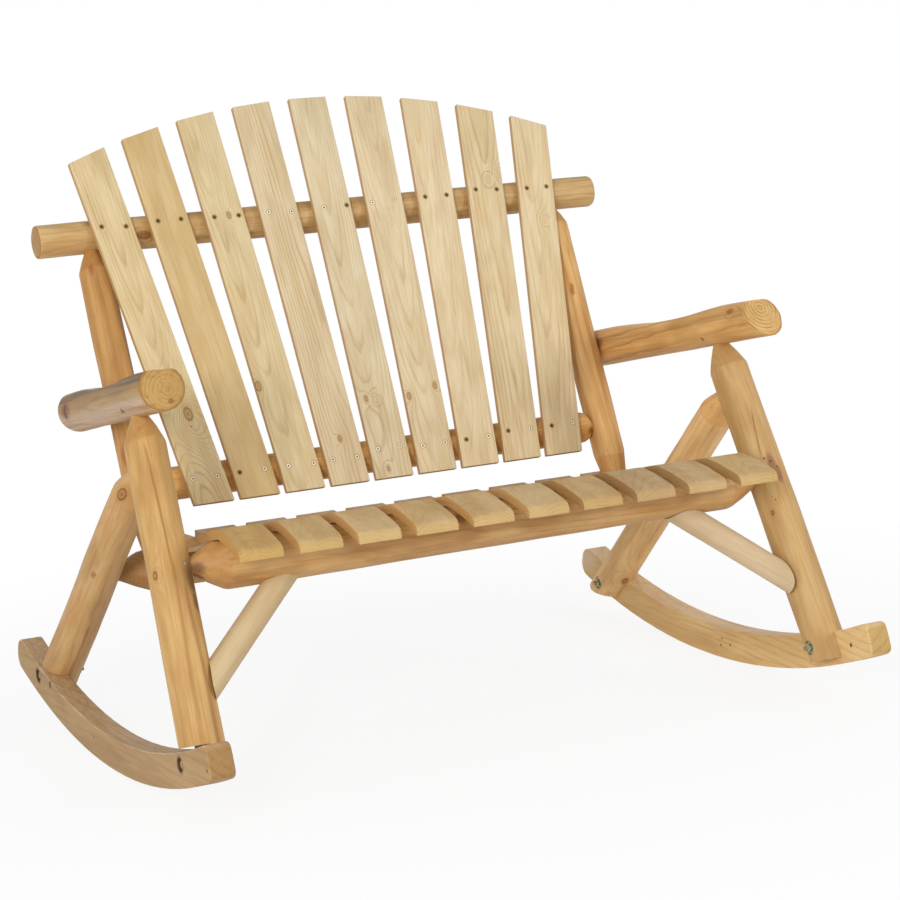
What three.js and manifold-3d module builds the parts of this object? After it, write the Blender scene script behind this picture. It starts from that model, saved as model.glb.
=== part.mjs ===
// Two-seat rocking bench built of peeled logs, sawn slats and two curved runners.
// Millimetres, X to the right, Y towards the back, Z up. The bench faces -Y.
// Every piece is first laid out with the two bolts of a side level with each other,
// the front bolt at y = 0, z = 0. At the end the whole bench is rocked back to its rest.

import * as THREE from 'three';
import { mergeVertices } from 'three/addons/utils/BufferGeometryUtils.js';
import Module from 'manifold-3d';

const wasm = await Module();
wasm.setup();
const radians = THREE.MathUtils.degToRad;

// Clearances and cutting
const fitGap = 0.3;
const overrun = 60;

// Runners
const runnerGap = 1168;
const runnerThickness = 42;
const runnerDepth = 58;
const runnerRadius = 1565;
const runnerFrontReach = 145;
const runnerRearReach = 135;
const runnerFrontRound = 12;
const runnerRearRound = 24;
const restFlat = 60;
const restTilt = radians(1.3);
const boltSpan = 772;
const boltRise = 38;

// Legs of the two side frames
const frontLegRadius = 37;
const rearLegRadius = 36;
const frontLegLean = radians(26.5);
const rearLegLean = radians(50.4);
const frontSideLean = radians(2.9);
const rearSideLean = radians(2.3);
const footInset = 12;
const frontShoulderGap = 5;
const rearShoulderGap = 0.6;

// Pencil points and tenons
const frontLegPencil = 48;
const rearLegPencil = 62;
const beamPencil = 56;
const postPencil = 42;
const railPencil = 34;
const tenonRadius = 14;
const tenonStop = 5;

// Seat
const frontBeamHeight = 283;
const frontBeamRadius = 45;
const frontBeamFlat = 8;
const rearBeamHeight = 219;
const rearBeamRadius = 38;
const rearBeamFlat = 6;
const seatSlatCount = 10;
const seatSlatWidth = 75;
const seatSlatThickness = 17;
const seatFrontPitch = 102.8;
const seatRearPitch = 97.9;
const seatFrontOverhang = 148;
const seatRearOverhang = 38;
const seatFrontDrop = 16;
const seatCrestReach = 62;
const seatCrestRise = 4;
const seatHollow = 14;
const seatFrontRound = 5;
const seatHollowPlaceShare = 0.62;

// Braces between the front legs and the front beam
const braceRadius = 23;
const braceLegHeight = 89;
const braceLegAhead = 20;
const braceBeamReach = 334;
const braceBeamBehind = 14;
const braceCopeInset = 8;

// Back
const recline = radians(22.3);
const postSpacing = 933;
const postRadius = 30;
const topRailRadius = 30;
const topRailOverhang = 99;
const topRailRise = 620;
const lowRailRadius = 30;
const lowRailRise = 146;
const backSlatCount = 9;
const backSlatWidth = 75;
const backSlatThickness = 11;
const backSlatFoot = 92;
const backSlatPitch = 88;
const backFanStep = radians(2.1);
const backCrownRise = 844;
const backCrownRadius = 1305;
const railEndEasing = 4;

// Arms
const armRadius = 38;
const armInset = 2;
const armFrontHeight = 555;
const armRearHeight = 499;
const armFrontReach = 160;
const armRearReach = 81;
const armFaceTilts = { left: radians(8), right: radians(26) };
const armRearRound = 20;
const armNoseDrop = 8;
const armCrestDrop = 7;
const armCrestReach = 55;
const armSlopeDrop = 14;
const armSlopePlace = 60;
const armHollowDrop = 13;
const armHollowPlace = 190;
const armTailDrop = 6;
const armTailPlace = 300;

// Carriage bolts, washers and nuts through the runners and the legs
const boltRadius = 4;
const boltHoleGap = 0.5;
const boltHeadRadius = 10;
const boltHeadHeight = 4;
const boltRecessGap = 2;
const boltRecessDepth = 6;
const boltTail = 5;
const spotFaceDepth = 6;
const washerRadius = 11;
const washerThickness = 2;
const nutRadius = 8;
const nutHeight = 7;

// Pins and lag bolts
const pinRadius = 3.5;
const pinInset = 2;
const armPinDrop = 22;
const beamPinSetback = 18;
const lagHeadRadius = 8;
const lagHeadHeight = 6;
const lagRadius = 4;
const lagLength = 74;
const lagSeatDepth = 4;

// Fineness of the round shapes
const logSides = 20;
const boltSides = 16;
const runnerFacets = 24;
const seatSteps = 14;
const hollowSteps = 12;
const treeShare = 0.06;
const evenShare = 0;
const boltDomeShares = [0.45, 0.8, 0.95];

// Colours of the woods and the metal
const honeyWood = { color: 0xd9a866, roughness: 0.55, metalness: 0 };
const strawWood = { color: 0xe6cf9c, roughness: 0.6, metalness: 0 };
const paleWood = { color: 0xe3c59a, roughness: 0.6, metalness: 0 };
const seatWood = { color: 0xdcbc82, roughness: 0.55, metalness: 0 };
const zincSteel = { color: 0x9aa18c, roughness: 0.35, metalness: 0.9 };
const darkSteel = { color: 0x4a4238, roughness: 0.5, metalness: 0.8 };

const sides = { left: -1, right: 1 };
const across = new THREE.Vector3(1, 0, 0);
const bench = new THREE.Group();

// Turns a closed geometry into a solid that can be cut and joined
function toSolid(geometry) {
  const bare = geometry.clone();
  bare.deleteAttribute('normal');
  bare.deleteAttribute('uv');
  const merged = mergeVertices(bare);
  const corners = merged.index.array;
  const kept = [];
  for (let i = 0; i < corners.length; i += 3) {
    const [a, b, c] = [corners[i], corners[i + 1], corners[i + 2]];
    if (a !== b && b !== c && c !== a) {
      kept.push(a, b, c);
    }
  }
  return new wasm.Manifold(new wasm.Mesh({
    numProp: 3,
    vertProperties: new Float32Array(merged.attributes.position.array),
    triVerts: new Uint32Array(kept),
  }));
}

// Turns a solid back into a geometry whose own zero is at the given anchor
function toGeometry(solid, anchor) {
  const mesh = solid.getMesh();
  const geometry = new THREE.BufferGeometry();
  geometry.setAttribute('position', new THREE.BufferAttribute(mesh.vertProperties, 3));
  geometry.setIndex(new THREE.BufferAttribute(mesh.triVerts, 1));
  geometry.translate(-anchor.x, -anchor.y, -anchor.z);
  geometry.computeVertexNormals();
  return geometry;
}

function addPiece(name, solid, anchor, finish) {
  const mesh = new THREE.Mesh(toGeometry(solid, anchor), new THREE.MeshStandardMaterial(finish));
  mesh.name = name;
  mesh.position.copy(anchor);
  bench.add(mesh);
  return mesh;
}

// A round profile turned about the line from one point towards another
function turned(profile, from, to, sideCount) {
  const points = profile.map(([radius, along]) => new THREE.Vector2(radius, along));
  const geometry = new THREE.LatheGeometry(points, sideCount);
  const up = new THREE.Vector3(0, 1, 0);
  const heading = new THREE.Vector3().subVectors(to, from).normalize();
  geometry.applyQuaternion(new THREE.Quaternion().setFromUnitVectors(up, heading));
  geometry.translate(from.x, from.y, from.z);
  return toSolid(geometry);
}

function rod(from, to, radius, sideCount = boltSides) {
  const length = from.distanceTo(to);
  return turned([[0, 0], [radius, 0], [radius, length], [0, length]], from, to, sideCount);
}

// A flat outline drawn in Y and Z, sawn out of a board that lies between two X values
function sawn(outline, leftX, rightX) {
  const shape = new THREE.Shape(outline.map(([y, z]) => new THREE.Vector2(y, z)));
  const geometry = new THREE.ExtrudeGeometry(shape, { depth: rightX - leftX, bevelEnabled: false });
  const turn = new THREE.Matrix4().set(0, 0, 1, leftX, 1, 0, 0, 0, 0, 1, 0, 0, 0, 0, 0, 1);
  geometry.applyMatrix4(turn);
  return toSolid(geometry);
}

// A log with its own kind of end at each side. A pencil end narrows to a tenon.
// It thins a little towards its finish, as a tree does, unless it is turned to one size.
// Grown by a gap, the same log is the tool that cuts its own socket or saddle.
function log(from, to, radius, thinningShare, startEnd, finishEnd, grow = 0) {
  const length = from.distanceTo(to);
  const slim = radius * (1 - thinningShare) + grow;
  const thick = radius + grow;
  const profile = [[0, -grow]];
  if (startEnd.pencil) {
    profile.push([tenonRadius + grow, -grow], [tenonRadius + grow, startEnd.tenon]);
    profile.push([thick, startEnd.tenon + startEnd.pencil]);
  } else {
    profile.push([thick - startEnd.easing, -grow], [thick, startEnd.easing]);
  }
  if (finishEnd.pencil) {
    profile.push([slim, length - finishEnd.tenon - finishEnd.pencil]);
    profile.push([tenonRadius + grow, length - finishEnd.tenon], [tenonRadius + grow, length + grow]);
  } else {
    profile.push([slim, length - finishEnd.easing], [slim - finishEnd.easing, length + grow]);
  }
  profile.push([0, length + grow]);
  return turned(profile, from, to, logSides);
}

const plainEnd = { easing: railEndEasing };

function pencilEnd(pencil, hostRadius) {
  return { pencil, tenon: hostRadius - tenonStop };
}

// The point that lies a distance short of the end of a line
function shortOf(from, to, distance) {
  const heading = new THREE.Vector3().subVectors(to, from).normalize();
  return to.clone().addScaledVector(heading, -distance);
}

// Lines that the pieces of a side frame are set out from
function frontLegPoint(side, height) {
  const x = side * (runnerGap / 2 - height * Math.tan(frontSideLean));
  return new THREE.Vector3(x, height * Math.tan(frontLegLean), height);
}

function rearLegPoint(side, height) {
  const x = side * (runnerGap / 2 - height * Math.tan(rearSideLean));
  return new THREE.Vector3(x, boltSpan - height * Math.tan(rearLegLean), height);
}

// The plane of the posts and rails, which leans back from the axis of the rear beam
function backPoint(x, rise, ahead = 0) {
  const foot = rearLegPoint(1, rearBeamHeight);
  const y = foot.y + rise * Math.sin(recline) - ahead * Math.cos(recline);
  const z = foot.z + rise * Math.cos(recline) + ahead * Math.sin(recline);
  return new THREE.Vector3(x, y, z);
}

// Runner: a board sawn to an arc, with a short flat where it stands at rest
const boltCircle = runnerRadius - boltRise;
const arcCentre = new THREE.Vector2(boltSpan / 2, Math.sqrt(boltCircle ** 2 - (boltSpan / 2) ** 2));

function arcPoint(radius, angle) {
  return [arcCentre.x + radius * Math.sin(angle), arcCentre.y - radius * Math.cos(angle)];
}

function roundCorner(radius, cornerRadius, angle, quarter, turnSign) {
  const points = [];
  const steps = 4;
  for (let i = 0; i <= steps; i += 1) {
    const swing = (Math.PI / 2) * (i / steps);
    const outward = quarter === 0 ? Math.cos(swing) : -Math.sin(swing);
    const endward = quarter === 0 ? Math.sin(swing) : Math.cos(swing);
    const inset = cornerRadius * (1 - endward) / radius;
    const depth = quarter === 0 ? cornerRadius * (1 - outward) : runnerDepth - cornerRadius * (1 + outward);
    points.push(arcPoint(runnerRadius - depth, angle - turnSign * inset));
  }
  return points;
}

function runnerOutline() {
  const frontAngle = Math.asin((-runnerFrontReach - arcCentre.x) / runnerRadius);
  const rearAngle = Math.asin((boltSpan + runnerRearReach - arcCentre.x) / runnerRadius);
  const flatAngle = restFlat / runnerRadius;
  const outline = [];
  const frontStart = frontAngle + runnerFrontRound / runnerRadius;
  const rearEnd = rearAngle - runnerRearRound / runnerRadius;
  const half = runnerFacets / 2;
  const flatStart = restTilt - flatAngle / 2;
  const flatEnd = restTilt + flatAngle / 2;
  for (let i = 1; i <= half; i += 1) {
    outline.push(arcPoint(runnerRadius, frontStart + (flatStart - frontStart) * (i / half)));
  }
  for (let i = 0; i < half; i += 1) {
    outline.push(arcPoint(runnerRadius, flatEnd + (rearEnd - flatEnd) * (i / half)));
  }
  outline.push(...roundCorner(runnerRadius, runnerRearRound, rearAngle, 0, 1));
  outline.push(...roundCorner(runnerRadius, runnerRearRound, rearAngle, 1, 1));
  for (let i = runnerFacets - 1; i > 0; i -= 1) {
    const angle = frontStart + (rearEnd - frontStart) * (i / runnerFacets);
    outline.push(arcPoint(runnerRadius - runnerDepth, angle));
  }
  outline.push(...roundCorner(runnerRadius, runnerFrontRound, frontAngle, 1, -1).reverse());
  outline.push(...roundCorner(runnerRadius, runnerFrontRound, frontAngle, 0, -1).reverse());
  return outline;
}

const boltPlaces = {
  front: new THREE.Vector3(0, 0, 0),
  rear: new THREE.Vector3(0, boltSpan, 0),
};

function atX(place, x) {
  return new THREE.Vector3(x, place.y, place.z);
}

function boltHole(side, place) {
  const inner = atX(place, side * (runnerGap / 2 - frontLegRadius - overrun));
  const outer = atX(place, side * (runnerGap / 2 + runnerThickness + overrun));
  return rod(inner, outer, boltRadius + boltHoleGap);
}

function addRunner(label, side) {
  const innerFace = side * runnerGap / 2;
  const outerFace = side * (runnerGap / 2 + runnerThickness);
  let solid = sawn(runnerOutline(), Math.min(innerFace, outerFace), Math.max(innerFace, outerFace));
  for (const place of Object.values(boltPlaces)) {
    const recessFloor = atX(place, outerFace - side * boltRecessDepth);
    const recessMouth = atX(place, outerFace + side * overrun);
    solid = solid.subtract(boltHole(side, place));
    solid = solid.subtract(rod(recessFloor, recessMouth, boltHeadRadius + boltRecessGap));
  }
  addPiece(`runner_${label}`, solid, atX(boltPlaces.front, outerFace), paleWood);
}

// Arm: an axis that passes over the front leg and along the outer side of the post
function armPoint(side, share) {
  const front = frontLegPoint(side, armFrontHeight);
  front.x -= side * armInset;
  const postRise = (armRearHeight - rearBeamHeight) / Math.cos(recline);
  const rearX = side * (postSpacing / 2 + postRadius + fitGap + armRadius);
  return front.lerp(backPoint(rearX, postRise), share);
}

function armSpan(side) {
  return armPoint(side, 0).distanceTo(armPoint(side, 1));
}

// A point on the arm's axis, measured backwards from above the front leg
function armAlong(side, distance) {
  return armPoint(side, distance / armSpan(side));
}

// Legs: round logs, half lapped on the inner face of the runner, pencil pointed at the top
function frontLegLog(side, grow = 0) {
  const foot = frontLegPoint(side, -runnerDepth);
  const top = shortOf(foot, frontLegPoint(side, armFrontHeight), tenonStop);
  const head = pencilEnd(frontLegPencil, armRadius);
  return log(foot, top, frontLegRadius, treeShare, plainEnd, head, grow);
}

const apexHeight = boltSpan / (Math.tan(frontLegLean) + Math.tan(rearLegLean));

function rearLegLog(side, grow = 0) {
  const foot = rearLegPoint(side, -runnerDepth);
  const top = shortOf(foot, rearLegPoint(side, apexHeight), tenonStop);
  const head = pencilEnd(rearLegPencil, frontLegRadius);
  return log(foot, top, rearLegRadius, treeShare, plainEnd, head, grow);
}

function lappedLeg(side, solid, place, radius, shoulderGap) {
  const reach = runnerGap / 2 + runnerThickness + overrun;
  const discRadius = runnerRadius - footInset;
  const disc = [];
  for (let i = 0; i <= runnerFacets * 2; i += 1) {
    const share = i / (runnerFacets * 2) - 1 / 2;
    disc.push(arcPoint(discRadius, share * Math.PI));
  }
  let leg = solid.intersect(sawn(disc, -reach, reach));
  const lapFace = side * (runnerGap / 2 - fitGap);
  const lapOutline = [];
  const lapAngle = Math.asin((place.y - arcCentre.x) / runnerRadius);
  const halfLap = (radius * 2 + overrun) / runnerRadius;
  for (let i = 0; i <= hollowSteps; i += 1) {
    const angle = lapAngle - halfLap + 2 * halfLap * (i / hollowSteps);
    lapOutline.push(arcPoint(runnerRadius + overrun, angle));
  }
  for (let i = hollowSteps; i >= 0; i -= 1) {
    const angle = lapAngle - halfLap + 2 * halfLap * (i / hollowSteps);
    lapOutline.push(arcPoint(runnerRadius - runnerDepth - shoulderGap, angle));
  }
  leg = leg.subtract(sawn(lapOutline, Math.min(lapFace, side * reach), Math.max(lapFace, side * reach)));
  const spotFloor = atX(place, side * (runnerGap / 2 - radius + spotFaceDepth));
  const spotMouth = atX(place, side * (runnerGap / 2 - radius - overrun));
  leg = leg.subtract(rod(spotFloor, spotMouth, washerRadius + boltRecessGap));
  return leg.subtract(boltHole(side, place));
}

function addLegs(label, side) {
  const frontLog = frontLegLog(side);
  const front = lappedLeg(side, frontLog, boltPlaces.front, frontLegRadius, frontShoulderGap)
    .subtract(rearLegLog(side, fitGap))
    .subtract(frontBeamLog(fitGap))
    .subtract(armPin(side, fitGap))
    .subtract(beamPin(side, fitGap));
  const rear = lappedLeg(side, rearLegLog(side), boltPlaces.rear, rearLegRadius, rearShoulderGap)
    .subtract(rearBeamLog(fitGap));
  addPiece(`front_leg_${label}`, front, frontLegPoint(side, 0), honeyWood);
  addPiece(`rear_leg_${label}`, rear, rearLegPoint(side, 0), honeyWood);
}

// Beams: the two logs under the seat, pencil pointed into the legs at both ends
function beamLog(leftEnd, rightEnd, radius, hostRadius, grow) {
  const left = shortOf(rightEnd, leftEnd, tenonStop);
  const right = shortOf(leftEnd, rightEnd, tenonStop);
  const end = pencilEnd(beamPencil, hostRadius);
  return log(left, right, radius, treeShare, end, end, grow);
}

function frontBeamLog(grow = 0) {
  const left = frontLegPoint(sides.left, frontBeamHeight);
  const right = frontLegPoint(sides.right, frontBeamHeight);
  return beamLog(left, right, frontBeamRadius, frontLegRadius, grow);
}

function rearBeamLog(grow = 0) {
  const left = rearLegPoint(sides.left, rearBeamHeight);
  const right = rearLegPoint(sides.right, rearBeamHeight);
  return beamLog(left, right, rearBeamRadius, rearLegRadius, grow);
}

function addBeams() {
  let front = frontBeamLog().subtract(seatBed());
  let rear = rearBeamLog().subtract(seatBed());
  for (const side of Object.values(sides)) {
    front = front.subtract(beamPin(side, fitGap));
    rear = rear.subtract(postLog(side, fitGap));
  }
  addPiece('front_beam', front, atX(frontLegPoint(1, frontBeamHeight), 0), honeyWood);
  addPiece('rear_beam', rear, atX(rearLegPoint(1, rearBeamHeight), 0), honeyWood);
}

// Seat slats: boards sawn to a crest at the front, a hollow and a level rear end
function seatTop() {
  const frontY = frontLegPoint(1, frontBeamHeight).y;
  const rearY = rearLegPoint(1, rearBeamHeight).y;
  const lift = seatSlatThickness + fitGap;
  const frontZ = frontBeamHeight + frontBeamRadius - frontBeamFlat + lift;
  const rearZ = rearBeamHeight + rearBeamRadius - rearBeamFlat + lift;
  const hollowY = THREE.MathUtils.lerp(frontY, rearY, seatHollowPlaceShare);
  const hollowZ = THREE.MathUtils.lerp(frontZ, rearZ, seatHollowPlaceShare) - seatHollow;
  return new THREE.SplineCurve([
    new THREE.Vector2(frontY - seatFrontOverhang, frontZ - seatFrontDrop),
    new THREE.Vector2(frontY - seatCrestReach, frontZ + seatCrestRise),
    new THREE.Vector2(frontY, frontZ),
    new THREE.Vector2(hollowY, hollowZ),
    new THREE.Vector2(rearY, rearZ),
    new THREE.Vector2(rearY + seatRearOverhang, rearZ),
  ]);
}

// The line that runs a given depth under the top of the slats
function seatLine(depth) {
  const curve = seatTop();
  const line = [];
  for (let i = 0; i <= seatSteps; i += 1) {
    const point = curve.getPointAt(i / seatSteps);
    const along = curve.getTangentAt(i / seatSteps);
    line.push([point.x + along.y * depth, point.y - along.x * depth]);
  }
  return line;
}

// What is planed off the beams so that the slats lie flat on them
function seatBed() {
  const under = seatLine(seatSlatThickness + fitGap);
  const [frontY] = under[0];
  const [rearY] = under[under.length - 1];
  const above = frontBeamHeight + frontBeamRadius + overrun;
  const reach = (seatSlatCount - 1) * seatFrontPitch / 2 + seatSlatWidth / 2;
  return sawn([...under, [rearY, above], [frontY, above]], -reach, reach);
}

function seatOutline() {
  const top = seatLine(0);
  const bottom = seatLine(seatSlatThickness);
  const nose = seatTop().getTangentAt(0).multiplyScalar(seatFrontRound);
  const first = top.shift();
  const easedTop = [first[0] + nose.x, first[1] + nose.y];
  const easedFront = [first[0] + nose.y, first[1] - nose.x];
  return [easedFront, ...bottom, ...top.reverse(), easedTop];
}

function addSeatSlats() {
  const board = sawn(seatOutline(), -seatSlatWidth / 2, seatSlatWidth / 2);
  const frontY = frontLegPoint(1, frontBeamHeight).y - seatFrontOverhang;
  const rearY = rearLegPoint(1, rearBeamHeight).y + seatRearOverhang;
  for (let i = 0; i < seatSlatCount; i += 1) {
    const place = i - (seatSlatCount - 1) / 2;
    const front = new THREE.Vector3(place * seatFrontPitch, frontY, frontBeamHeight);
    const slant = -place * (seatFrontPitch - seatRearPitch) / (rearY - frontY);
    const shift = front.x - slant * frontY;
    const slat = board
      .transform([1, 0, 0, 0, slant, 1, 0, 0, 0, 0, 1, 0, shift, 0, 0, 1])
      .subtract(postLog(sides.left, fitGap))
      .subtract(postLog(sides.right, fitGap));
    addPiece(`seat_slat_${i + 1}`, slat, front, seatWood);
  }
}

// Braces: short poles, saddled round the front leg and the front beam
function addBrace(label, side) {
  const low = frontLegPoint(side, braceLegHeight);
  const high = atX(frontLegPoint(side, frontBeamHeight), side * braceBeamReach);
  low.y -= braceLegAhead;
  high.y += braceBeamBehind;
  const pole = rod(low, high, braceRadius, logSides)
    .subtract(frontLegLog(side, fitGap))
    .subtract(frontLegLog(side, fitGap).translate([-side * braceCopeInset, -braceLegAhead, 0]))
    .subtract(frontBeamLog(fitGap))
    .subtract(rod(high, atX(high, 0), frontBeamRadius));
  addPiece(`brace_${label}`, pole, low, paleWood);
}

// Posts: logs that stand in the rear beam and carry the top rail on their points
function postLog(side, grow = 0) {
  const low = backPoint(side * postSpacing / 2, 0);
  const high = backPoint(side * postSpacing / 2, topRailRise);
  const foot = shortOf(high, low, tenonStop);
  const head = shortOf(low, high, tenonStop);
  const lowEnd = pencilEnd(postPencil, rearBeamRadius);
  const highEnd = pencilEnd(railPencil, topRailRadius);
  return log(foot, head, postRadius, evenShare, lowEnd, highEnd, grow);
}

function addPost(label, side) {
  const post = postLog(side)
    .subtract(lowRailLog(fitGap))
    .subtract(lagBolt(side, fitGap));
  addPiece(`back_post_${label}`, post, backPoint(side * postSpacing / 2, 0), honeyWood);
}

// Rails: the long log on top of the posts and the short one between them
function topRailLog(grow = 0) {
  const half = postSpacing / 2 + topRailOverhang;
  const left = backPoint(-half, topRailRise);
  const right = backPoint(half, topRailRise);
  return log(left, right, topRailRadius, evenShare, plainEnd, plainEnd, grow);
}

function lowRailLog(grow = 0) {
  const left = backPoint(-postSpacing / 2 + tenonStop, lowRailRise);
  const right = backPoint(postSpacing / 2 - tenonStop, lowRailRise);
  const end = pencilEnd(railPencil, postRadius);
  return log(left, right, lowRailRadius, evenShare, end, end, grow);
}

function addRails() {
  let top = topRailLog();
  for (const side of Object.values(sides)) {
    top = top.subtract(postLog(side, fitGap));
  }
  addPiece('top_rail', top, backPoint(0, topRailRise), honeyWood);
  addPiece('low_rail', lowRailLog(), backPoint(0, lowRailRise), honeyWood);
}

// Back slats: a fan of thin boards on the front of the rails, cut to an arc at the top
function slatTop(centreX, turn, edge) {
  const heading = new THREE.Vector2(Math.sin(turn), Math.cos(turn));
  const start = new THREE.Vector2(centreX + edge / Math.cos(turn), backSlatFoot);
  const crownCentre = new THREE.Vector2(0, backCrownRise - backCrownRadius);
  const offset = start.sub(crownCentre);
  const along = offset.dot(heading);
  return Math.sqrt(along ** 2 - offset.lengthSq() + backCrownRadius ** 2) - along;
}

function addBackSlats() {
  const near = topRailRadius + fitGap;
  for (let i = 0; i < backSlatCount; i += 1) {
    const place = i - (backSlatCount - 1) / 2;
    const turn = place * backFanStep;
    const centreX = place * backSlatPitch;
    const half = backSlatWidth / 2;
    const shape = new THREE.Shape([-half, half].flatMap((edge, index) => {
      const footX = edge / Math.cos(turn);
      const height = slatTop(centreX, turn, edge);
      const foot = new THREE.Vector2(footX, 0);
      const head = new THREE.Vector2(footX + height * Math.sin(turn), height * Math.cos(turn));
      return index === 0 ? [head, foot] : [foot, head];
    }));
    const board = new THREE.ExtrudeGeometry(shape, { depth: backSlatThickness, bevelEnabled: false });
    board.rotateX(Math.PI / 2 - recline);
    const anchor = backPoint(centreX, backSlatFoot, near);
    board.translate(anchor.x, anchor.y, anchor.z);
    addPiece(`back_slat_${i + 1}`, toSolid(board), anchor, strawWood);
  }
}

// The arm's log, its slanted front face, its rounded rear end and its hollowed top
function addArm(label, side) {
  const front = armAlong(side, -armFrontReach - armRadius);
  const rear = armAlong(side, armSpan(side) + armRearReach);
  const length = front.distanceTo(rear);
  const profile = [[0, 0], [armRadius, 0]];
  const domeSteps = 4;
  for (let i = 0; i <= domeSteps; i += 1) {
    const swing = (Math.PI / 2) * (i / domeSteps);
    const radius = armRadius - armRearRound * (1 - Math.cos(swing));
    profile.push([radius, length - armRearRound * (1 - Math.sin(swing))]);
  }
  profile.push([0, length]);
  let arm = turned(profile, front, rear, logSides);
  const heading = new THREE.Vector3().subVectors(front, rear).normalize();
  const faceCentre = armAlong(side, -armFrontReach);
  const faceNormal = heading.clone().applyAxisAngle(across, -armFaceTilts[label]);
  const beyond = faceCentre.clone().addScaledVector(faceNormal, armRadius + overrun);
  arm = arm.subtract(rod(faceCentre, beyond, armRadius + overrun));
  arm = arm.subtract(armTop(side));
  arm = arm.subtract(frontLegLog(side, fitGap));
  arm = arm.subtract(postLog(side, fitGap));
  arm = arm.subtract(armPin(side, fitGap));
  arm = arm.subtract(lagBolt(side, fitGap));
  addPiece(`arm_${label}`, arm, armPoint(side, 0), honeyWood);
}

// What is planed off the arm's top: a dip at the front end and a hollow behind the crest
function armTop(side) {
  const rearEnd = armSpan(side) + armRearReach;
  const places = [
    new THREE.Vector2(-armFrontReach, armRadius - armNoseDrop),
    new THREE.Vector2(-armCrestReach, armRadius - armCrestDrop),
    new THREE.Vector2(armSlopePlace, armRadius - armSlopeDrop),
    new THREE.Vector2(armHollowPlace, armRadius - armHollowDrop),
    new THREE.Vector2(armTailPlace, armRadius - armTailDrop),
    new THREE.Vector2(rearEnd, armRadius - armTailDrop),
  ];
  const start = armAlong(side, 0);
  const along = armAlong(side, armSpan(side)).sub(start).setX(0).normalize();
  const upward = new THREE.Vector3(0, -along.z, along.y);
  const outline = new THREE.SplineCurve(places).getPoints(hollowSteps).map((place) => {
    const point = start.clone()
      .addScaledVector(along, place.x)
      .addScaledVector(upward, place.y);
    return [point.y, point.z];
  });
  const [firstY, firstZ] = outline[0];
  const [lastY, lastZ] = outline[outline.length - 1];
  const above = Math.max(firstZ, lastZ) + overrun;
  outline.push([lastY + overrun, lastZ], [lastY + overrun, above]);
  outline.push([firstY - overrun, above], [firstY - overrun, firstZ]);
  const reach = runnerGap / 2 + runnerThickness + overrun;
  const inner = side > 0 ? 0 : -reach;
  return sawn(outline, inner, inner + reach);
}

// Pin that crosses the arm and the leg's tenon inside it
function armPin(side, grow = 0) {
  const centre = frontLegPoint(side, armFrontHeight - armPinDrop);
  const half = Math.sqrt(armRadius ** 2 - armPinDrop ** 2) - pinInset + grow * (overrun / fitGap);
  const inner = atX(centre, centre.x - half);
  const outer = atX(centre, centre.x + half);
  return rod(inner, outer, pinRadius + grow);
}

// Pin that crosses the front leg and the front beam's tenon inside it
function beamPin(side, grow = 0) {
  const centre = frontLegPoint(side, frontBeamHeight);
  const inward = atX(centre, centre.x - side * beamPinSetback);
  const squareOff = new THREE.Vector3(0, -Math.cos(frontLegLean), Math.sin(frontLegLean));
  const half = Math.sqrt(frontLegRadius ** 2 - beamPinSetback ** 2) - pinInset;
  const head = inward.clone().addScaledVector(squareOff, half + grow * (overrun / fitGap));
  const tip = inward.clone().addScaledVector(squareOff, -tenonRadius - pinInset - grow);
  return rod(tip, head, pinRadius + grow);
}

// Lag bolt from the inner side of the post into the arm
function lagBolt(side, grow = 0) {
  const centre = armPoint(side, 1);
  const postX = side * postSpacing / 2;
  const seat = atX(centre, postX - side * (postRadius - lagSeatDepth));
  const outside = seat.x - side * (lagHeadHeight + grow * (overrun / fitGap));
  const tip = atX(centre, seat.x + side * (lagLength + grow));
  const head = rod(seat, atX(centre, outside), lagHeadRadius + grow, grow > 0 ? boltSides : 6);
  const shankStart = atX(centre, seat.x - side * lagHeadHeight / 2);
  return head.add(rod(shankStart, tip, lagRadius + grow));
}

// Carriage bolt with its washer and nut
function addBoltSet(label, side, end, legRadius) {
  const place = boltPlaces[end];
  const headSeat = side * (runnerGap / 2 + runnerThickness - boltRecessDepth + fitGap);
  const washerSeat = side * (runnerGap / 2 - legRadius + spotFaceDepth - fitGap);
  const washerFace = washerSeat - side * washerThickness;
  const nutSeat = washerFace - side * fitGap;
  const nutFace = nutSeat - side * nutHeight;
  const tail = nutFace - side * boltTail;
  const length = Math.abs(headSeat - tail);
  const profile = [[0, 0], [boltRadius, 0], [boltRadius, length], [boltHeadRadius, length]];
  boltDomeShares.forEach((share) => {
    profile.push([boltHeadRadius * Math.sqrt(1 - share ** 2), length + boltHeadHeight * share]);
  });
  profile.push([0, length + boltHeadHeight]);
  const bolt = turned(profile, atX(place, tail), atX(place, headSeat), boltSides);
  const bore = rod(atX(place, tail), atX(place, headSeat), boltRadius + fitGap);
  const washer = rod(atX(place, washerSeat), atX(place, washerFace), washerRadius).subtract(bore);
  const nut = rod(atX(place, nutSeat), atX(place, nutFace), nutRadius, 6).subtract(bore);
  addPiece(`${end}_bolt_${label}`, bolt, atX(place, headSeat), darkSteel);
  addPiece(`${end}_washer_${label}`, washer, atX(place, washerSeat), zincSteel);
  addPiece(`${end}_nut_${label}`, nut, atX(place, nutSeat), zincSteel);
}

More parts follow.
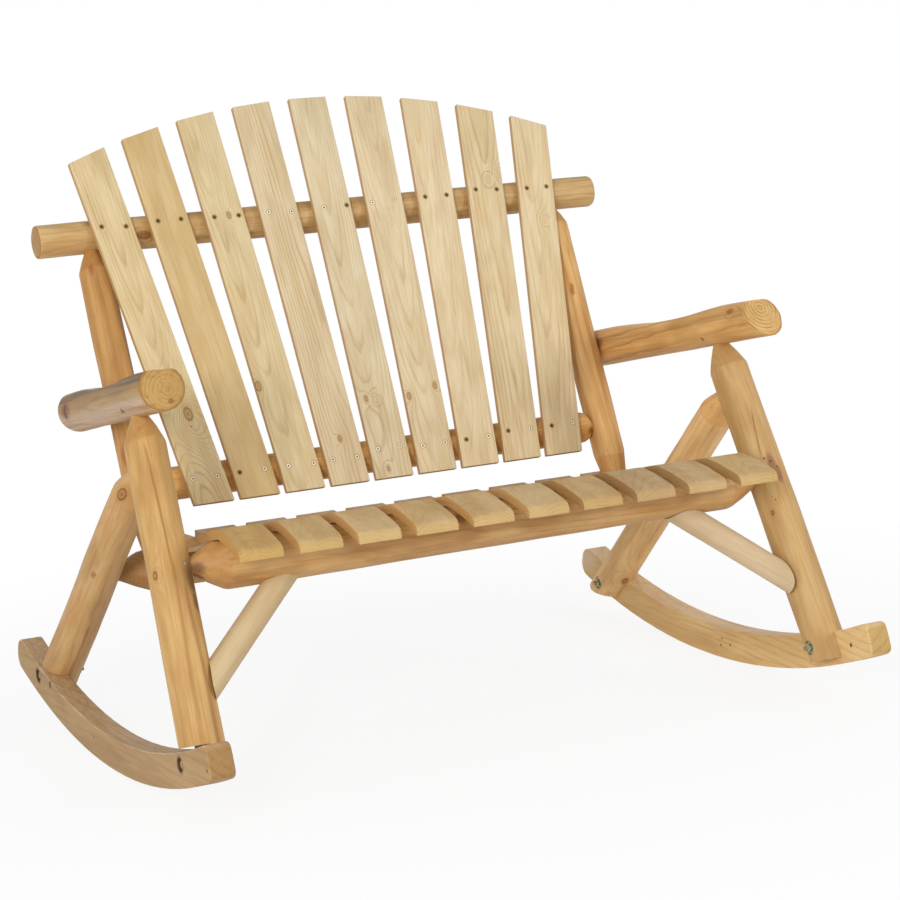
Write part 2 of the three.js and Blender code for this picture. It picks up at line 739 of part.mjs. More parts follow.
// Putting the bench together
for (const [label, side] of Object.entries(sides)) {
  addRunner(label, side);
  addLegs(label, side);
  addArm(label, side);
  addPost(label, side);
  addBrace(label, side);
  addBoltSet(label, side, 'front', frontLegRadius);
  addBoltSet(label, side, 'rear', rearLegRadius);
  addPiece(`arm_pin_${label}`, armPin(side), armPoint(side, 0), darkSteel);
  addPiece(`beam_pin_${label}`, beamPin(side), frontLegPoint(side, frontBeamHeight), darkSteel);
  addPiece(`lag_bolt_${label}`, lagBolt(side), armPoint(side, 1), zincSteel);
}
addBeams();
addSeatSlats();
addRails();
addBackSlats();

// Rest: rocked back onto the flat of the runners, centred over the floor
const rocked = new THREE.Group();
rocked.add(bench);
bench.rotation.x = -restTilt;
const box = new THREE.Box3().setFromObject(rocked, true);
const part = new THREE.Group();
rocked.position.set(0, -(box.min.y + box.max.y) / 2, -box.min.z);
part.add(rocked);

export default part;
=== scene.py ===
from math import asin, cos, exp, hypot, inf, pi, radians, sin, sqrt, tan

import bmesh
import bpy
from mathutils import Matrix, Vector, noise


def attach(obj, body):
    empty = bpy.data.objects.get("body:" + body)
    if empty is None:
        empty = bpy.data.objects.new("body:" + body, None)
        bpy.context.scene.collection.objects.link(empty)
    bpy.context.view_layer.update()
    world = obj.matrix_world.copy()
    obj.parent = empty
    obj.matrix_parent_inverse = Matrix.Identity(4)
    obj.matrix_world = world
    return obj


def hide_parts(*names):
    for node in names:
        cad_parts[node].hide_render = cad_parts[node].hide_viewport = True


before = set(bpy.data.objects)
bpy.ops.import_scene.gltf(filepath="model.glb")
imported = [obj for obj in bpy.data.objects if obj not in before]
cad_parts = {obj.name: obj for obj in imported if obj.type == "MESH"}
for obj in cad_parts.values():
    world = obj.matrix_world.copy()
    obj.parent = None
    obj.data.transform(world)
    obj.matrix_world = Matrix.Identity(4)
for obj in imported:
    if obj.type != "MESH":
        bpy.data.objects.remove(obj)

scene = bpy.context.scene
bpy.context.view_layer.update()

# Runners: two pine boards sawn to an arc and eased along their edges, squarish at the
# front end and rounder at the rear end. Each is bored for the two carriage bolts and
# stands on its underside. All sizes are in millimetres, with the bench level on its bolts.
AT_REST = (Matrix.Translation((0, -0.379573, 0.0964425)) @ Matrix.Rotation(-radians(1.3), 4, "X")
           @ Matrix.Scale(0.001, 4))
RUNNER_INSIDE, RUNNER_MIDDLE, RUNNER_OUTSIDE = 584, 605, 626
RUNNER_UNDER, RUNNER_TOP = 1565, 1507
ARC_CENTRE = Vector((0, 386, 1477.41))
RUNNER_FRONT, RUNNER_REAR = asin(-531 / RUNNER_UNDER), asin(521 / RUNNER_UNDER)
BOLT_Y = {"front": 0, "rear": 772}
WASHER_X = {"front": 553, "rear": 554}
RECESS_X = 620
GAP = 0.3
SIDES = {"left": -1, "right": 1}


def outward(bm):
    """Turns all faces to the outside"""
    bmesh.ops.recalc_face_normals(bm, faces=bm.faces)
    return bm


def arc_board(sides, top, under, start, stop, steps):
    """A rectangle swept about the arc's centre, from one angle to another"""
    bm = bmesh.new()
    near, far = sorted(sides)
    section = [bm.verts.new(ARC_CENTRE + Vector((x, 0, -radius))) for x, radius in
               ((near, top), (far, top), (far, under), (near, under))]
    bm.faces.new(section)
    bmesh.ops.rotate(bm, verts=section, cent=ARC_CENTRE, matrix=Matrix.Rotation(start, 3, "X"))
    bmesh.ops.spin(bm, geom=[*bm.verts, *bm.edges, *bm.faces], cent=ARC_CENTRE, axis=(1, 0, 0),
                   angle=stop - start, steps=steps)
    return outward(bm)


def ease(bm, edges, width, segments):
    bmesh.ops.bevel(bm, geom=edges, offset=width, segments=segments, profile=0.5, affect="EDGES",
                    material=-1, clamp_overlap=True)


def sharp_edges(bm, least=50):
    return [edge for edge in bm.edges if edge.calc_face_angle(0) > radians(least)]


def placed(name, data):
    thing = bpy.data.objects.new(name, data)
    scene.collection.objects.link(thing)
    return thing


def made(name, bm, lay=AT_REST):
    """The finished mesh becomes an object at its place on the bench"""
    mesh = bpy.data.meshes.new(name)
    bm.to_mesh(mesh)
    bm.free()
    mesh.transform(lay)
    return placed(name, mesh)


def lathe(profile, steps):
    """A shape turned about its own length from pairs of radius and place"""
    bm = bmesh.new()
    points = [bm.verts.new((radius, 0, along)) for radius, along in profile]
    edges = [bm.edges.new(pair) for pair in zip(points, points[1:])]
    bmesh.ops.spin(bm, geom=points + edges, cent=(0, 0, 0), axis=(0, 0, 1), angle=2 * pi,
                   steps=steps, use_merge=True)
    bmesh.ops.remove_doubles(bm, verts=bm.verts, dist=0.001)
    return outward(bm)


def lay_along(foot, head, facing=(0, -1, 0)):
    """The place of a piece that runs from foot to head, with its show side facing a way"""
    grain = (head - foot).normalized()
    side = Vector(facing).cross(grain).normalized()
    turn = Matrix((side, grain.cross(side), grain)).transposed().to_4x4()
    return AT_REST @ Matrix.Translation(foot) @ turn


def lay_across(place, side=1):
    """The place of a bolt or pin that runs across the bench"""
    return lay_along(place, place + Vector((side, 0, 0)))


def cut(piece, tool):
    """Saws or bores the shape of a tool out of a piece, and puts the tool away"""
    saw = piece.modifiers.new("cut", "BOOLEAN")
    saw.operation, saw.solver, saw.object = "DIFFERENCE", "EXACT", tool
    looked_at = piece.evaluated_get(bpy.context.evaluated_depsgraph_get())
    rough = piece.data
    piece.data = bpy.data.meshes.new_from_object(looked_at)
    piece.modifiers.clear()
    piece.data.name = rough.name
    for spent in (rough, tool.data):
        bpy.data.meshes.remove(spent)


def bore(piece, lay, radius, start, stop, steps, tip=0):
    """Bores a round hole along the length of a place, or a tapered one where a tip is given"""
    outline = [(0, start), (radius, start), (tip or radius, stop), (0, stop)]
    cut(piece, made("bore_tool", lathe(outline, steps), lay))


def bolt_tool(side, end):
    """The stepped bit of one bolt: the flat for the washer, the bore and the head's recess"""
    washer_flat = Vector((side * WASHER_X[end], BOLT_Y[end], 0))
    recess = RECESS_X - WASHER_X[end]
    profile = [(0, -120), (13, -120), (13, 0), (4.5, 0), (4.5, recess), (12, recess),
               (12, recess + 53), (0, recess + 53)]
    return made("bolt_tool", lathe(profile, 32), lay_across(washer_flat, side))


def fit(piece, node, material):
    """Smooths a piece between its cut edges and puts it on the bench for its plain solid"""
    bm = bmesh.new()
    bm.from_mesh(piece.data)
    for face in bm.faces:
        face.smooth = True
    for edge in bm.edges:
        edge.smooth = edge.calc_face_angle(0) < radians(32)
    bm.to_mesh(piece.data)
    bm.free()
    piece.data.materials.clear()
    piece.data.materials.append(material)
    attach(piece, "root")
    if node:
        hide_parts(node)


class Reading:
    """A value read over a surface. Sums on it add their own nodes to its material."""

    def __init__(self, socket):
        self.socket = socket

    def node(self, kind, settings, inputs, output=0):
        tree = self.socket.id_data
        added = tree.nodes.new("ShaderNode" + kind)
        for setting, value in settings.items():
            setattr(added, setting, value)
        for name, value in inputs.items():
            if isinstance(value, Reading):
                tree.links.new(value.socket, added.inputs[name])
            else:
                added.inputs[name].default_value = value
        return Reading(added.outputs[output])

    def into(self, socket):
        self.socket.id_data.links.new(self.socket, socket)

    def math(self, operation, *others):
        return self.node("Math", {"operation": operation}, dict(enumerate((self, *others))))

    def vector(self, operation, *others, output="Vector"):
        return self.node("VectorMath", {"operation": operation},
                         dict(enumerate((self, *others))), output)

    def __add__(self, other):
        return self.math("ADD", other)

    def __sub__(self, other):
        return self.math("SUBTRACT", other)

    def __rsub__(self, other):
        return self.node("Math", {"operation": "SUBTRACT"}, {0: other, 1: self})

    def __mul__(self, other):
        return self.math("MULTIPLY", other)

    def __truediv__(self, other):
        return self.math("DIVIDE", other)

    def __rtruediv__(self, other):
        return self.node("Math", {"operation": "DIVIDE"}, {0: other, 1: self})

    __radd__, __rmul__ = __add__, __mul__

    def rise(self, low, high):
        """Zero up to one value, one from another, and smooth between them"""
        return self.node("MapRange", {"interpolation_type": "SMOOTHSTEP"},
                         {"Value": self, "From Min": low, "From Max": high})

    def facing(self, way):
        """How far a surface direction points a way, from minus one to one"""
        return self.vector("DOT_PRODUCT", way, output="Value")

    def mix(self, low, high):
        """One colour where this value is zero and another where it is one"""
        return self.node("Mix", {"data_type": "RGBA"}, {0: self, 6: low, 7: high}, 2)

    def tint(self, share, colour):
        """This colour, with a share of another one laid over it"""
        return share.mix(self, colour)

    def scaled(self, across, along, shift=0.0):
        """The place on a surface, counted in lengths across and along the grain"""
        return self.vector("MULTIPLY_ADD", (1 / across, 1 / across, 1 / along),
                           (shift * 7.3, shift * 3.7, shift * 11.9))

    def clouds(self, detail=2.0, output=0):
        return self.node("TexNoise", {}, {"Vector": self, "Scale": 1.0, "Detail": detail}, output)


def paint(red, green, blue):
    """A colour as read off the photograph, made linear"""
    return tuple((c / 12.92 if c <= 0.04045 else ((c + 0.055) / 1.055) ** 2.4)
                 for c in (red / 255, green / 255, blue / 255)) + (1.0,)


def nearest(place, marks, press):
    """The distance to the nearest of some marks, counted in that mark's own size"""
    pressed = place.vector("MULTIPLY", (1, 1, press))
    near = None
    for across, out, along, size in marks:
        away = pressed.vector("DISTANCE", (across, out, along * press), output="Value") * (1 / size)
        near = away if near is None else near.math("MINIMUM", away)
    return near


def deeper(colour, depth):
    """The paint of a wood with more of the stain in it, or paler where the depth is below zero"""
    return paint(*(min(c * (1 - depth * share), 252) for c, share in zip(colour, (0.09, 0.13, 0.2))))


def fresh_material(name):
    """A new material, its shader, and the readings of place and of surface direction over it"""
    material = bpy.data.materials.new(name)
    material.use_nodes = True
    nodes = material.node_tree.nodes
    readings = nodes.new("ShaderNodeTexCoord").outputs
    return material, nodes["Principled BSDF"], Reading(readings["Object"]), Reading(readings["Normal"])


def wood(name, lay, colour, contrast=1.0, pith=(0, 0), lean=(0, 0), ring=3.2, show=0.35, wander=5,
         knots=(), swirls=(), bruises=(), bend=3.5, knot=(118, 76, 42), stains=(),
         stain=(150, 88, 45), cracks=(), dots=(), seams=(), streaks=0.3, wide=5, figure=30,
         fibre=0.32, end=None, edge=None, points=None, rim=None, weather=(), rough=0.55, seed=0,
         relief=0.25):
    """Stained softwood: growth rings about a pith line, bent by knots, streaks and cloudy stain"""
    material, shader, on_bench, normal = fresh_material(name)
    shader.inputs["Specular IOR Level"].default_value = 0.3
    foot, turn, _ = lay.decompose()
    sideways, grain = (turn @ Vector(axis) for axis in ((1, 0, 0), (0, 0, 1)))
    place = on_bench.node("Mapping", {"vector_type": "TEXTURE"},
                          {"Vector": on_bench, "Location": foot, "Rotation": turn.to_euler(),
                           "Scale": (0.001, 0.001, 0.001)})
    drift = place.scaled(80, 420, seed).clouds(2.0, 1)
    drifted = drift.vector("MULTIPLY_ADD", (2 * wander, 2 * wander, 0), place)
    apart = drifted.node("SeparateXYZ", {}, {0: drifted})
    across, out, along = (Reading(apart.socket.node.outputs[i]) for i in range(3))
    off_side = across - (pith[0] + wander) - along * lean[0]
    off_face = out - (pith[1] + wander) - along * lean[1]
    rings = (off_side * off_side + off_face * off_face).math("SQRT") / ring
    if knots or swirls:
        bent = nearest(place, (*knots, *swirls), 0.6)
        rings = rings + bend / (bent * bent * (1.2 / bend) + 1)
        figured = 1 - bent.rise(1.5, 4.5)
    rings = rings + place.scaled(9, 60, seed + 1).clouds(2.0) * 0.45
    saw = rings.math("FRACT")
    strength = place.scaled(30, 260, seed + 2).clouds(1.0).rise(0.35, 0.65) * 0.75 + 0.25
    if knots or swirls:
        strength = strength + figured * 0.5
    late = (saw.rise(0.55, 0.87) - saw.rise(0.89, 0.98)) * strength
    threads = place.scaled(1.1, 46, seed + 3).clouds(3.0)
    cloud = place.scaled(figure, figure * 6, seed + 4).clouds(3.0)
    deep = place.scaled(figure * 1.6, figure * 5, seed + 5).clouds(2.0)
    lines = place.scaled(wide, wide * 50, seed + 6).clouds(3.0)
    ends = normal.facing(grain).math("ABSOLUTE").rise(0.7, 0.9)

    warm = (colour[0] * 1.02, colour[1] * 0.94, colour[2] * 0.78)
    look = cloud.rise(0.36, 0.62).mix(paint(*colour), deeper(colour, -contrast))
    look = look.tint(deep.rise(0.5, 0.72) * 0.45, deeper(colour, 1.5 * contrast))
    look = look.tint((1 - deep.rise(0.28, 0.48)) * (0.4 * contrast), paint(*warm))
    if points:
        wavy = along + cloud * 12 - 6
        first, last, share = points
        shaved = 1 - wavy.rise(first - 2, first + 2) + wavy.rise(last - 2, last + 2)
        look = look.tint(shaved * share, deeper(warm, 1.1))
        late = late * (1 - shaved * 0.8)
    if edge:
        sides = normal.facing(sideways).math("ABSOLUTE").rise(0.6, 0.9)
        look = look.tint(sides * 0.8, paint(*edge))
    look = look.tint(ends * 0.75, paint(*end) if end else deeper(colour, 0.8))
    if rim:
        from_heart = place.vector("MULTIPLY", (1, 1, 0)).vector("LENGTH", output="Value")
        look = look.tint(from_heart.rise(rim - 6, rim - 1) * ends * 0.6, deeper(colour, 3))
    # Tints by the way a surface faces: weathering, and painted light where a piece asks for it, such as
    # pale lit tops, painted highlights and painted shade on lower sides.
    for way, start, full, tone, share in weather:
        weathered_and_lit_mask = normal.facing(way).rise(start, full) * (1 - ends) * share
        look = look.tint(weathered_and_lit_mask * (1 - lines.rise(0.4, 0.62) * 0.55), paint(*tone))
    look = look.tint(lines.rise(0.52, 0.72) * streaks, deeper(warm, 2.2))
    look = look.tint(late * (ends * 0.6 + 1) * show, deeper(colour, 3.2))
    look = look.tint(threads.rise(0.45, 0.75) * (1 - ends) * fibre, deeper(colour, 2))
    if stains:
        spread = nearest(place, stains, 0.45) + deep * 1.3 - 0.65
        look = look.tint((1 - spread.rise(0.35, 1.0)) * 0.75, paint(*stain))
    for seam_across, slope, seam_start, seam_stop, width, share in seams:
        beside = across - (wander + seam_across - seam_start * slope + 5) - along * slope
        beside = (beside + cloud * 10 + threads * 3).math("ABSOLUTE")
        reach = along.rise(seam_start, seam_start + 30) - along.rise(seam_stop - 30, seam_stop)
        seam = (1 - (beside / width).rise(0.2, 1.0)) * reach * out.rise(2, 8)
        look = look.tint(seam * share, deeper(warm, 3.6))
    sunk = late * 0.25 + threads * 0.3
    if knots:
        near = nearest(place, knots, 0.6)
        ragged = near + threads * 0.3 - 0.15
        look = look.tint((1 - near.rise(0.9, 2.2)) * 0.3, deeper(warm, 1.6))
        look = look.tint((1 - ragged.rise(0.75, 1.0)) * 0.5, deeper(warm, 1.9))
        inner = (near * 2.4).math("FRACT").rise(0.5, 0.95) * (1 - near.rise(0.7, 0.8))
        look = look.tint(inner * 0.35, paint(*knot))
        collar = ragged.rise(0.66, 0.9) - ragged.rise(0.98, 1.22)
        look = look.tint(collar * 0.75, paint(*knot))
        look = look.tint((1 - ragged.rise(0.12, 0.36)) * 0.6, paint(*knot))
    if cracks:
        split = nearest(place, cracks, 0.07) + threads * 0.5 - 0.25
        open_crack = 1 - split.rise(0.6, 1.0)
        look = look.tint(open_crack * 0.8, paint(84, 52, 28))
        sunk = sunk - open_crack * 2
    # Painted shade in the screw pits, with a faint dark halo round each.
    if bruises:
        pressed = nearest(place, bruises, 1)
        look = look.tint((1 - pressed.rise(0.95, 1.4)) * 0.8, deeper(colour, 3))
    # Dark dots: small holes and marks, and painted shade in recesses such as the bolt recesses in the
    # runners.
    if dots:
        look = look.tint((1 - nearest(place, dots, 1).rise(0.6, 1.1)) * 0.85, paint(66, 44, 26))
    bump = sunk.node("Bump", {}, {"Height": sunk, "Strength": relief, "Distance": 0.0012})
    look.into(shader.inputs["Base Color"])
    (threads * 0.16 + (rough - 0.08) + ends * 0.15).into(shader.inputs["Roughness"])
    bump.into(shader.inputs["Normal"])
    return material


def fit_wood(piece, node, slot, lay, *look, **marks):
    """Fits a wooden piece, with a wood of its own"""
    fit(piece, node, wood(piece.name + "_wood", lay, *look, **marks))


# In each runner's dots, the first two paint shade into the bolt recesses, with a dark ring round each;
# the others are small holes.
RUNNERS = {
    "left": {"colour": (168, 133, 86), "pith": (-90, -46), "lean": (0.03, 0.01), "wear_and_painted_light": 0.25,
             "dots": [(0, 17, 145, 17.5), (0, 17, 917, 17.5), (-18.4, 21, 18.3, 3.6),
                      (3.8, 21, 844, 8), (49.3, 21, 597.7, 3)]},
    "right": {"colour": (216, 178, 118), "end": (184, 151, 91), "pith": (90, -34), "wear_and_painted_light": 0.7,
              "lean": (0.08, -0.02), "stains": [(36, -21, 1040, 34)], "stain": (240, 212, 180),
              "dots": [(0, 17, 145, 16), (0, 17, 917, 16), (-63.5, -21, 504, 3),
                       (-50, -21, 500, 2.4), (-57.8, -21, 471.5, 3), (13, -21, 66.7, 4.6)]},
}
for label, side in SIDES.items():
    board = arc_board((side * RUNNER_INSIDE, side * RUNNER_OUTSIDE), RUNNER_TOP, RUNNER_UNDER,
                      RUNNER_FRONT, RUNNER_REAR, 24)
    front_corners, rear_corners = [], []
    for edge in sharp_edges(board, 80):
        start, stop = (corner.co for corner in edge.verts)
        if abs(start.x - stop.x) > 1:
            (rear_corners if start.y > ARC_CENTRE.y else front_corners).append(edge)
    ease(board, front_corners, 14, 6)
    ease(board, rear_corners, 24, 8)
    if label == "right":
        ease(board, [edge for edge in sharp_edges(board)
                     if max(corner.co.y for corner in edge.verts) < -105], 8, 4)
    ease(board, sharp_edges(board), 3.2, 4)
    runner = made(f"{label}_runner", board)
    for corner in runner.data.vertices:
        corner.co.z = max(corner.co.z, 0)
        corner.co.x = side * min(side * corner.co.x, RUNNER_OUTSIDE / 1000)
    for end in BOLT_Y:
        cut(runner, bolt_tool(side, end))
    foot, head = (Vector((side * RUNNER_MIDDLE, y, 0)) for y in (-145, 900))
    lay = lay_along(foot, head, (side, 0, 0))
    look = RUNNERS[label]
    # Painted light: the top face is tinted pale as if lit from above, by a share set for each runner.
    # The pale line on the eased upper outer edge is a painted highlight on the worn edge.
    painted_top_light = [((0, 0, 1), 0.75, 0.95, (236, 208, 176), look.pop("wear_and_painted_light")),
                ((-0.7, 0, 0.7), 0.93, 0.99, (240, 220, 190), 0.7)]
    fit_wood(runner, f"runner_{label}", "pale_wood", lay, ring=14, show=0.22, wander=14,
             seed=3 + side, contrast=0.8, figure=46, wide=4, weather=painted_top_light, **look)

# Legs: peeled logs, halved against the inner face of the runner and bolted there. The
# front leg leans back and ends in a pencil point under the arm; the rear leg leans
# forward and ends in a point on the rear of the front leg.
FRONT_TILT = radians(26.5)
FRONT_LEAN, REAR_LEAN = tan(FRONT_TILT), tan(radians(50.4))
FRONT_SPLAY, REAR_SPLAY = tan(radians(2.9)), tan(radians(2.3))
LEG_FOOT, ARM_HEIGHT, FRONT_BEAM_HEIGHT, REAR_BEAM_HEIGHT = -58, 555, 283, 219
FRONT_LEG_RADIUS, TENON_SHORT = 37, 5


def front_leg_at(side, height):
    return Vector((side * (RUNNER_INSIDE - height * FRONT_SPLAY), height * FRONT_LEAN, height))


def rear_leg_at(side, height):
    return Vector((side * (RUNNER_INSIDE - height * REAR_SPLAY), BOLT_Y["rear"] - height * REAR_LEAN,
                   height))


def short_of(foot, head, distance):
    return head - (head - foot).normalized() * distance


def log_profile(keys, spacing=11):
    """The rings of a log, from the few pairs of radius and place that set its outline"""
    rings = []
    for (radius, along), (next_radius, next_along) in zip(keys, keys[1:]):
        steps = max(1, round((next_along - along) / spacing))
        rings += [(radius + (next_radius - radius) * i / steps,
                   along + (next_along - along) * i / steps) for i in range(steps)]
    return rings + [keys[-1]]


def sawn_foot(radius, easing=3):
    return [(0, 0), (radius - easing, 0), (radius - easing * 0.3, easing * 0.3), (radius, easing)]


def mirrored(keys, length):
    return [(radius, length - along) for radius, along in reversed(keys)]


def pencil(radius, cone, tenon, tenon_radius=14):
    """A point cut like a pencil's: tenon, slightly full cone and a soft shoulder"""
    rise = radius - tenon_radius
    return [(0, 0), (tenon_radius, 0), (tenon_radius, tenon),
            (tenon_radius + rise * 0.52, tenon + cone * 0.47), (radius - 1.6, tenon + cone * 0.93),
            (radius - 0.3, tenon + cone * 1.02), (radius, tenon + cone * 1.12)]


def on_log(radius, marks):
    """Places on a log's skin, from the place along it, the angle round it and the mark's size"""
    return [(radius * cos(radians(angle)), radius * sin(radians(angle)), along, size)
            for along, angle, size in marks]


def marked(look, **radii):
    """A log's look, with each named kind of mark moved onto the skin at its radius"""
    return {key: on_log(radii[key], value) if key in radii else value for key, value in look.items()}


def peel(bm, seed, knots=(), wave=1.5, flats=0.5):
    """The skin that the draw knife leaves: slow swells, small flats, and a bulge at each knot"""
    core = 15
    for corner in bm.verts:
        x, y, z = corner.co
        radius = hypot(x, y)
        if radius < core:
            continue
        swell = wave * noise.noise(Vector((x / 34 + seed * 5.1, y / 34, z / 190)))
        swell += flats * noise.noise(Vector((x / 11, y / 11 + seed * 3.3, z / 70)))
        for knot_x, knot_y, knot_z, size in knots:
            away = hypot(x - knot_x, y - knot_y, (z - knot_z) * 0.7)
            swell += 1.4 * exp(-(away / (size * 1.6)) ** 2)
        swell *= min(1, (radius - core) / 12)
        corner.co.x += x / radius * swell
        corner.co.y += y / radius * swell


def peeled(foot, head, start, stop, seed, knots=(), wave=1.5, flats=0.5, steps=56):
    """A log with an outline for each end, its place and its length"""
    length = (head - foot).length
    bm = lathe(log_profile(start + mirrored(stop, length)), steps)
    peel(bm, seed, knots, wave, flats)
    return bm, lay_along(foot, head), length


def leg(label, side, end, at, thick, slim, cone, host, head_height, gap, knots):
    """A log halved over its runner, with its place and the stretch that the pencil cut left"""
    foot = at(side, LEG_FOOT)
    head = short_of(foot, at(side, head_height), TENON_SHORT)
    bm, lay, length = peeled(foot, head, sawn_foot(thick), pencil(slim, cone, host - TENON_SHORT),
                             side * (1 if end == "front" else 2), on_log(slim, knots))
    log = made(f"{label}_{end}_leg", bm, lay)
    about = asin((BOLT_Y[end] - ARC_CENTRE.y) / RUNNER_UNDER)
    lap = (side * (RUNNER_INSIDE - GAP), side * 700)
    cut(log, made("lap_tool", arc_board(lap, RUNNER_TOP - gap, RUNNER_UNDER + 75,
                                        about - 0.1, about + 0.1, 16)))
    cut(log, made("foot_tool", arc_board((-700, 700), RUNNER_UNDER - 12, RUNNER_UNDER + 135,
                                         about - 0.12, about + 0.12, 16)))
    cut(log, bolt_tool(side, end))
    return log, lay, (-100, length - host + TENON_SHORT - cone, 0.3 if end == "front" else 0.4)


FRONT_LEGS = {
    # The left leg's dark stains by the beam's tenon are partly a knot's stain and partly painted shade
    # where the beam meets the leg.
    "left": {"gap": 5, "colour": (194, 152, 93), "knots": [(368, 33, 5)],
             "stains": [(352, 138, 20), (318, 138, 13)], "stain": (88, 60, 36),
             "dots": [(328, 133, 2.6), (250, 70, 1)],
             "seams": [(5.5, 0.033, 370, 600, 3.2, 0.5), (14, -0.03, 60, 400, 6, 0.35),
                       (-14, 0.01, 40, 360, 6, 0.4)]},
    "right": {"gap": 0.6, "colour": (190, 151, 96), "knots": [(313, 40, 3.4)],
              "stains": [(402, 84, 11), (382, 95, 9)], "stain": (146, 92, 62),
              "dots": [(334, 60, 1.6), (341, 52, 1.2), (412, 68, 2.6), (404, 84, 2.4), (392, 98, 2)],
              "seams": [(19, -0.11, 405, 515, 2, 0.6)]},
}
for label, side in SIDES.items():
    look = marked(FRONT_LEGS[label], knots=35, stains=35, dots=35)
    log, lay, points = leg(label, side, "front", front_leg_at, thick=FRONT_LEG_RADIUS, slim=34.8,
                           cone=48, host=38, head_height=ARM_HEIGHT, gap=look.pop("gap"),
                           knots=FRONT_LEGS[label]["knots"])
    fit_wood(log, f"front_leg_{label}", "log_wood", lay, seed=5 + side, show=0.16, pith=(3, -4),
             lean=(0.008, 0.004), points=points, **look)

REAR_LEGS = {
    "left": {"colour": (190, 148, 94), "knots": [(722, 26, 8)], "knot": (108, 62, 38),
             "stains": [(482, 41, 7)], "dots": [(424, 138, 3), (484, 47, 1.5), (478, 37, 1.2)],
             "seams": [(2, 0, 40, 330, 5, 0.4)]},
    # Painted light: the right leg's colour is set paler than its wood, to make up for the little light
    # that reaches it.
    "right": {"colour": (227, 184, 123), "knots": [(150, 76, 6)], "stains": [(150, 76, 10)],
              "seams": [(-8, 0, 60, 360, 5, 0.3)]},
}
for label, side in SIDES.items():
    look = marked(REAR_LEGS[label], knots=28 if label == "left" else 34, stains=34, dots=34)
    log, lay, points = leg(label, side, "rear", rear_leg_at, thick=36, slim=33.8, cone=62, host=37,
                           head_height=452.3, gap=0.6, knots=REAR_LEGS[label]["knots"])
    fit_wood(log, f"rear_leg_{label}", "log_wood", lay, bend=6, stain=(158, 104, 62), seed=9 + side,
             show=0.18, pith=(-4, 3), lean=(-0.006, 0.006),
             points=points if label == "right" else None, **look)

# Beams: the two logs under the seat, pointed into the legs at both ends and planed along
# the top, where the seat slats lie. A pin through the leg holds the front beam's tenon.
SEAT_FRONT, SEAT_REAR = -6.9, 545.1
SEAT_SLAT_WIDTH, SEAT_SLAT_THICKNESS = 75, 17
SEAT_LINE = [Vector(place) for place in ((SEAT_FRONT, 321.3), (79.1, 341.3), (141.1, 337.3),
                                         (368.4, 280.7), (507.1, 268.3), (SEAT_REAR, 268.3))]


def flow(share, start, stop, leave, arrive):
    """A place on the smooth line between two places, left and reached with given slopes"""
    return ((start - stop) * 2 + leave + arrive) * share ** 3 \
        + ((stop - start) * 3 - leave * 2 - arrive) * share ** 2 + leave * share + start


def seat_curve():
    """Places along the top of the slats from front to rear, each with its heading"""
    per_span = 9
    line = []
    last = len(SEAT_LINE) - 1
    for i in range(last):
        before, start, stop, after = (SEAT_LINE[min(max(k, 0), last)] for k in (i - 1, i, i + 1, i + 2))
        leave, arrive = (stop - before) / 2, (after - start) / 2
        for j in range(per_span + (i == last - 1)):
            t = j / per_span
            slope = ((start - stop) * 2 + leave + arrive) * 3 * t ** 2 \
                + ((stop - start) * 3 - leave * 2 - arrive) * 2 * t + leave
            line.append((flow(t, start, stop, leave, arrive), slope.normalized()))
    return line


SEAT_UNDERSIDE = [place + Vector((slope.y, -slope.x)) * (SEAT_SLAT_THICKNESS + GAP)
                  for place, slope in seat_curve()]


def underside_at(y):
    for first, second in zip(SEAT_UNDERSIDE, SEAT_UNDERSIDE[1:]):
        if first.x <= y <= second.x:
            return first.y + (second.y - first.y) * (y - first.x) / (second.x - first.x)
    return inf


def beam(name, at, height, thick, slim, host, knots, seed):
    """A log from leg to leg, pointed at both ends and planed where the seat lies on it"""
    left, right = at(-1, height), at(1, height)
    left, right = short_of(right, left, TENON_SHORT), short_of(left, right, TENON_SHORT)
    points = (pencil(radius, 56, host - TENON_SHORT) for radius in (thick, slim))
    bm, lay, _ = peeled(left, right, *points, seed, on_log(slim, knots))
    level = AT_REST.inverted() @ lay
    bmesh.ops.transform(bm, matrix=level, verts=bm.verts)
    for corner in bm.verts:
        if abs(corner.co.x) < 500:
            corner.co.z = min(corner.co.z, underside_at(corner.co.y))
    bmesh.ops.transform(bm, matrix=level.inverted(), verts=bm.verts)
    return made(name, bm, lay), lay


FRONT_BEAM_KNOTS = [(512, 62, 5)]
front_beam, lay = beam("seat_front_beam", front_leg_at, FRONT_BEAM_HEIGHT, thick=45, slim=42.3,
                       host=37, knots=FRONT_BEAM_KNOTS, seed=4)
# The two dark stains near the left end are painted shade where the point enters the leg, together with
# a knot's stain; the stain at the far knot is the knot's own.
fit_wood(front_beam, "front_beam", "log_wood", lay, (192, 147, 91), 1.2, seed=21,
         knots=on_log(43, FRONT_BEAM_KNOTS), cracks=on_log(21, [(44, 142, 1.1)]),
         dots=on_log(21, [(41, 146, 2), (48, 138, 1.8), (62, 99, 1.3)]),
         stains=on_log(18, [(38, 90, 13), (36, 150, 10)]) + on_log(43, [(512, 62, 12)]),
         stain=(104, 66, 38), pith=(4, -6), lean=(0.01, 0.012), show=0.28, points=(88, 1040, 0.3))

rear_beam, lay = beam("seat_rear_beam", rear_leg_at, REAR_BEAM_HEIGHT, thick=38, slim=35.7,
                      host=36, knots=(), seed=6)
fit_wood(rear_beam, "rear_beam", "log_wood", lay, (160, 118, 66), 1.2, seed=24, pith=(-4, 3),
         lean=(0.006, 0.01), show=0.3)

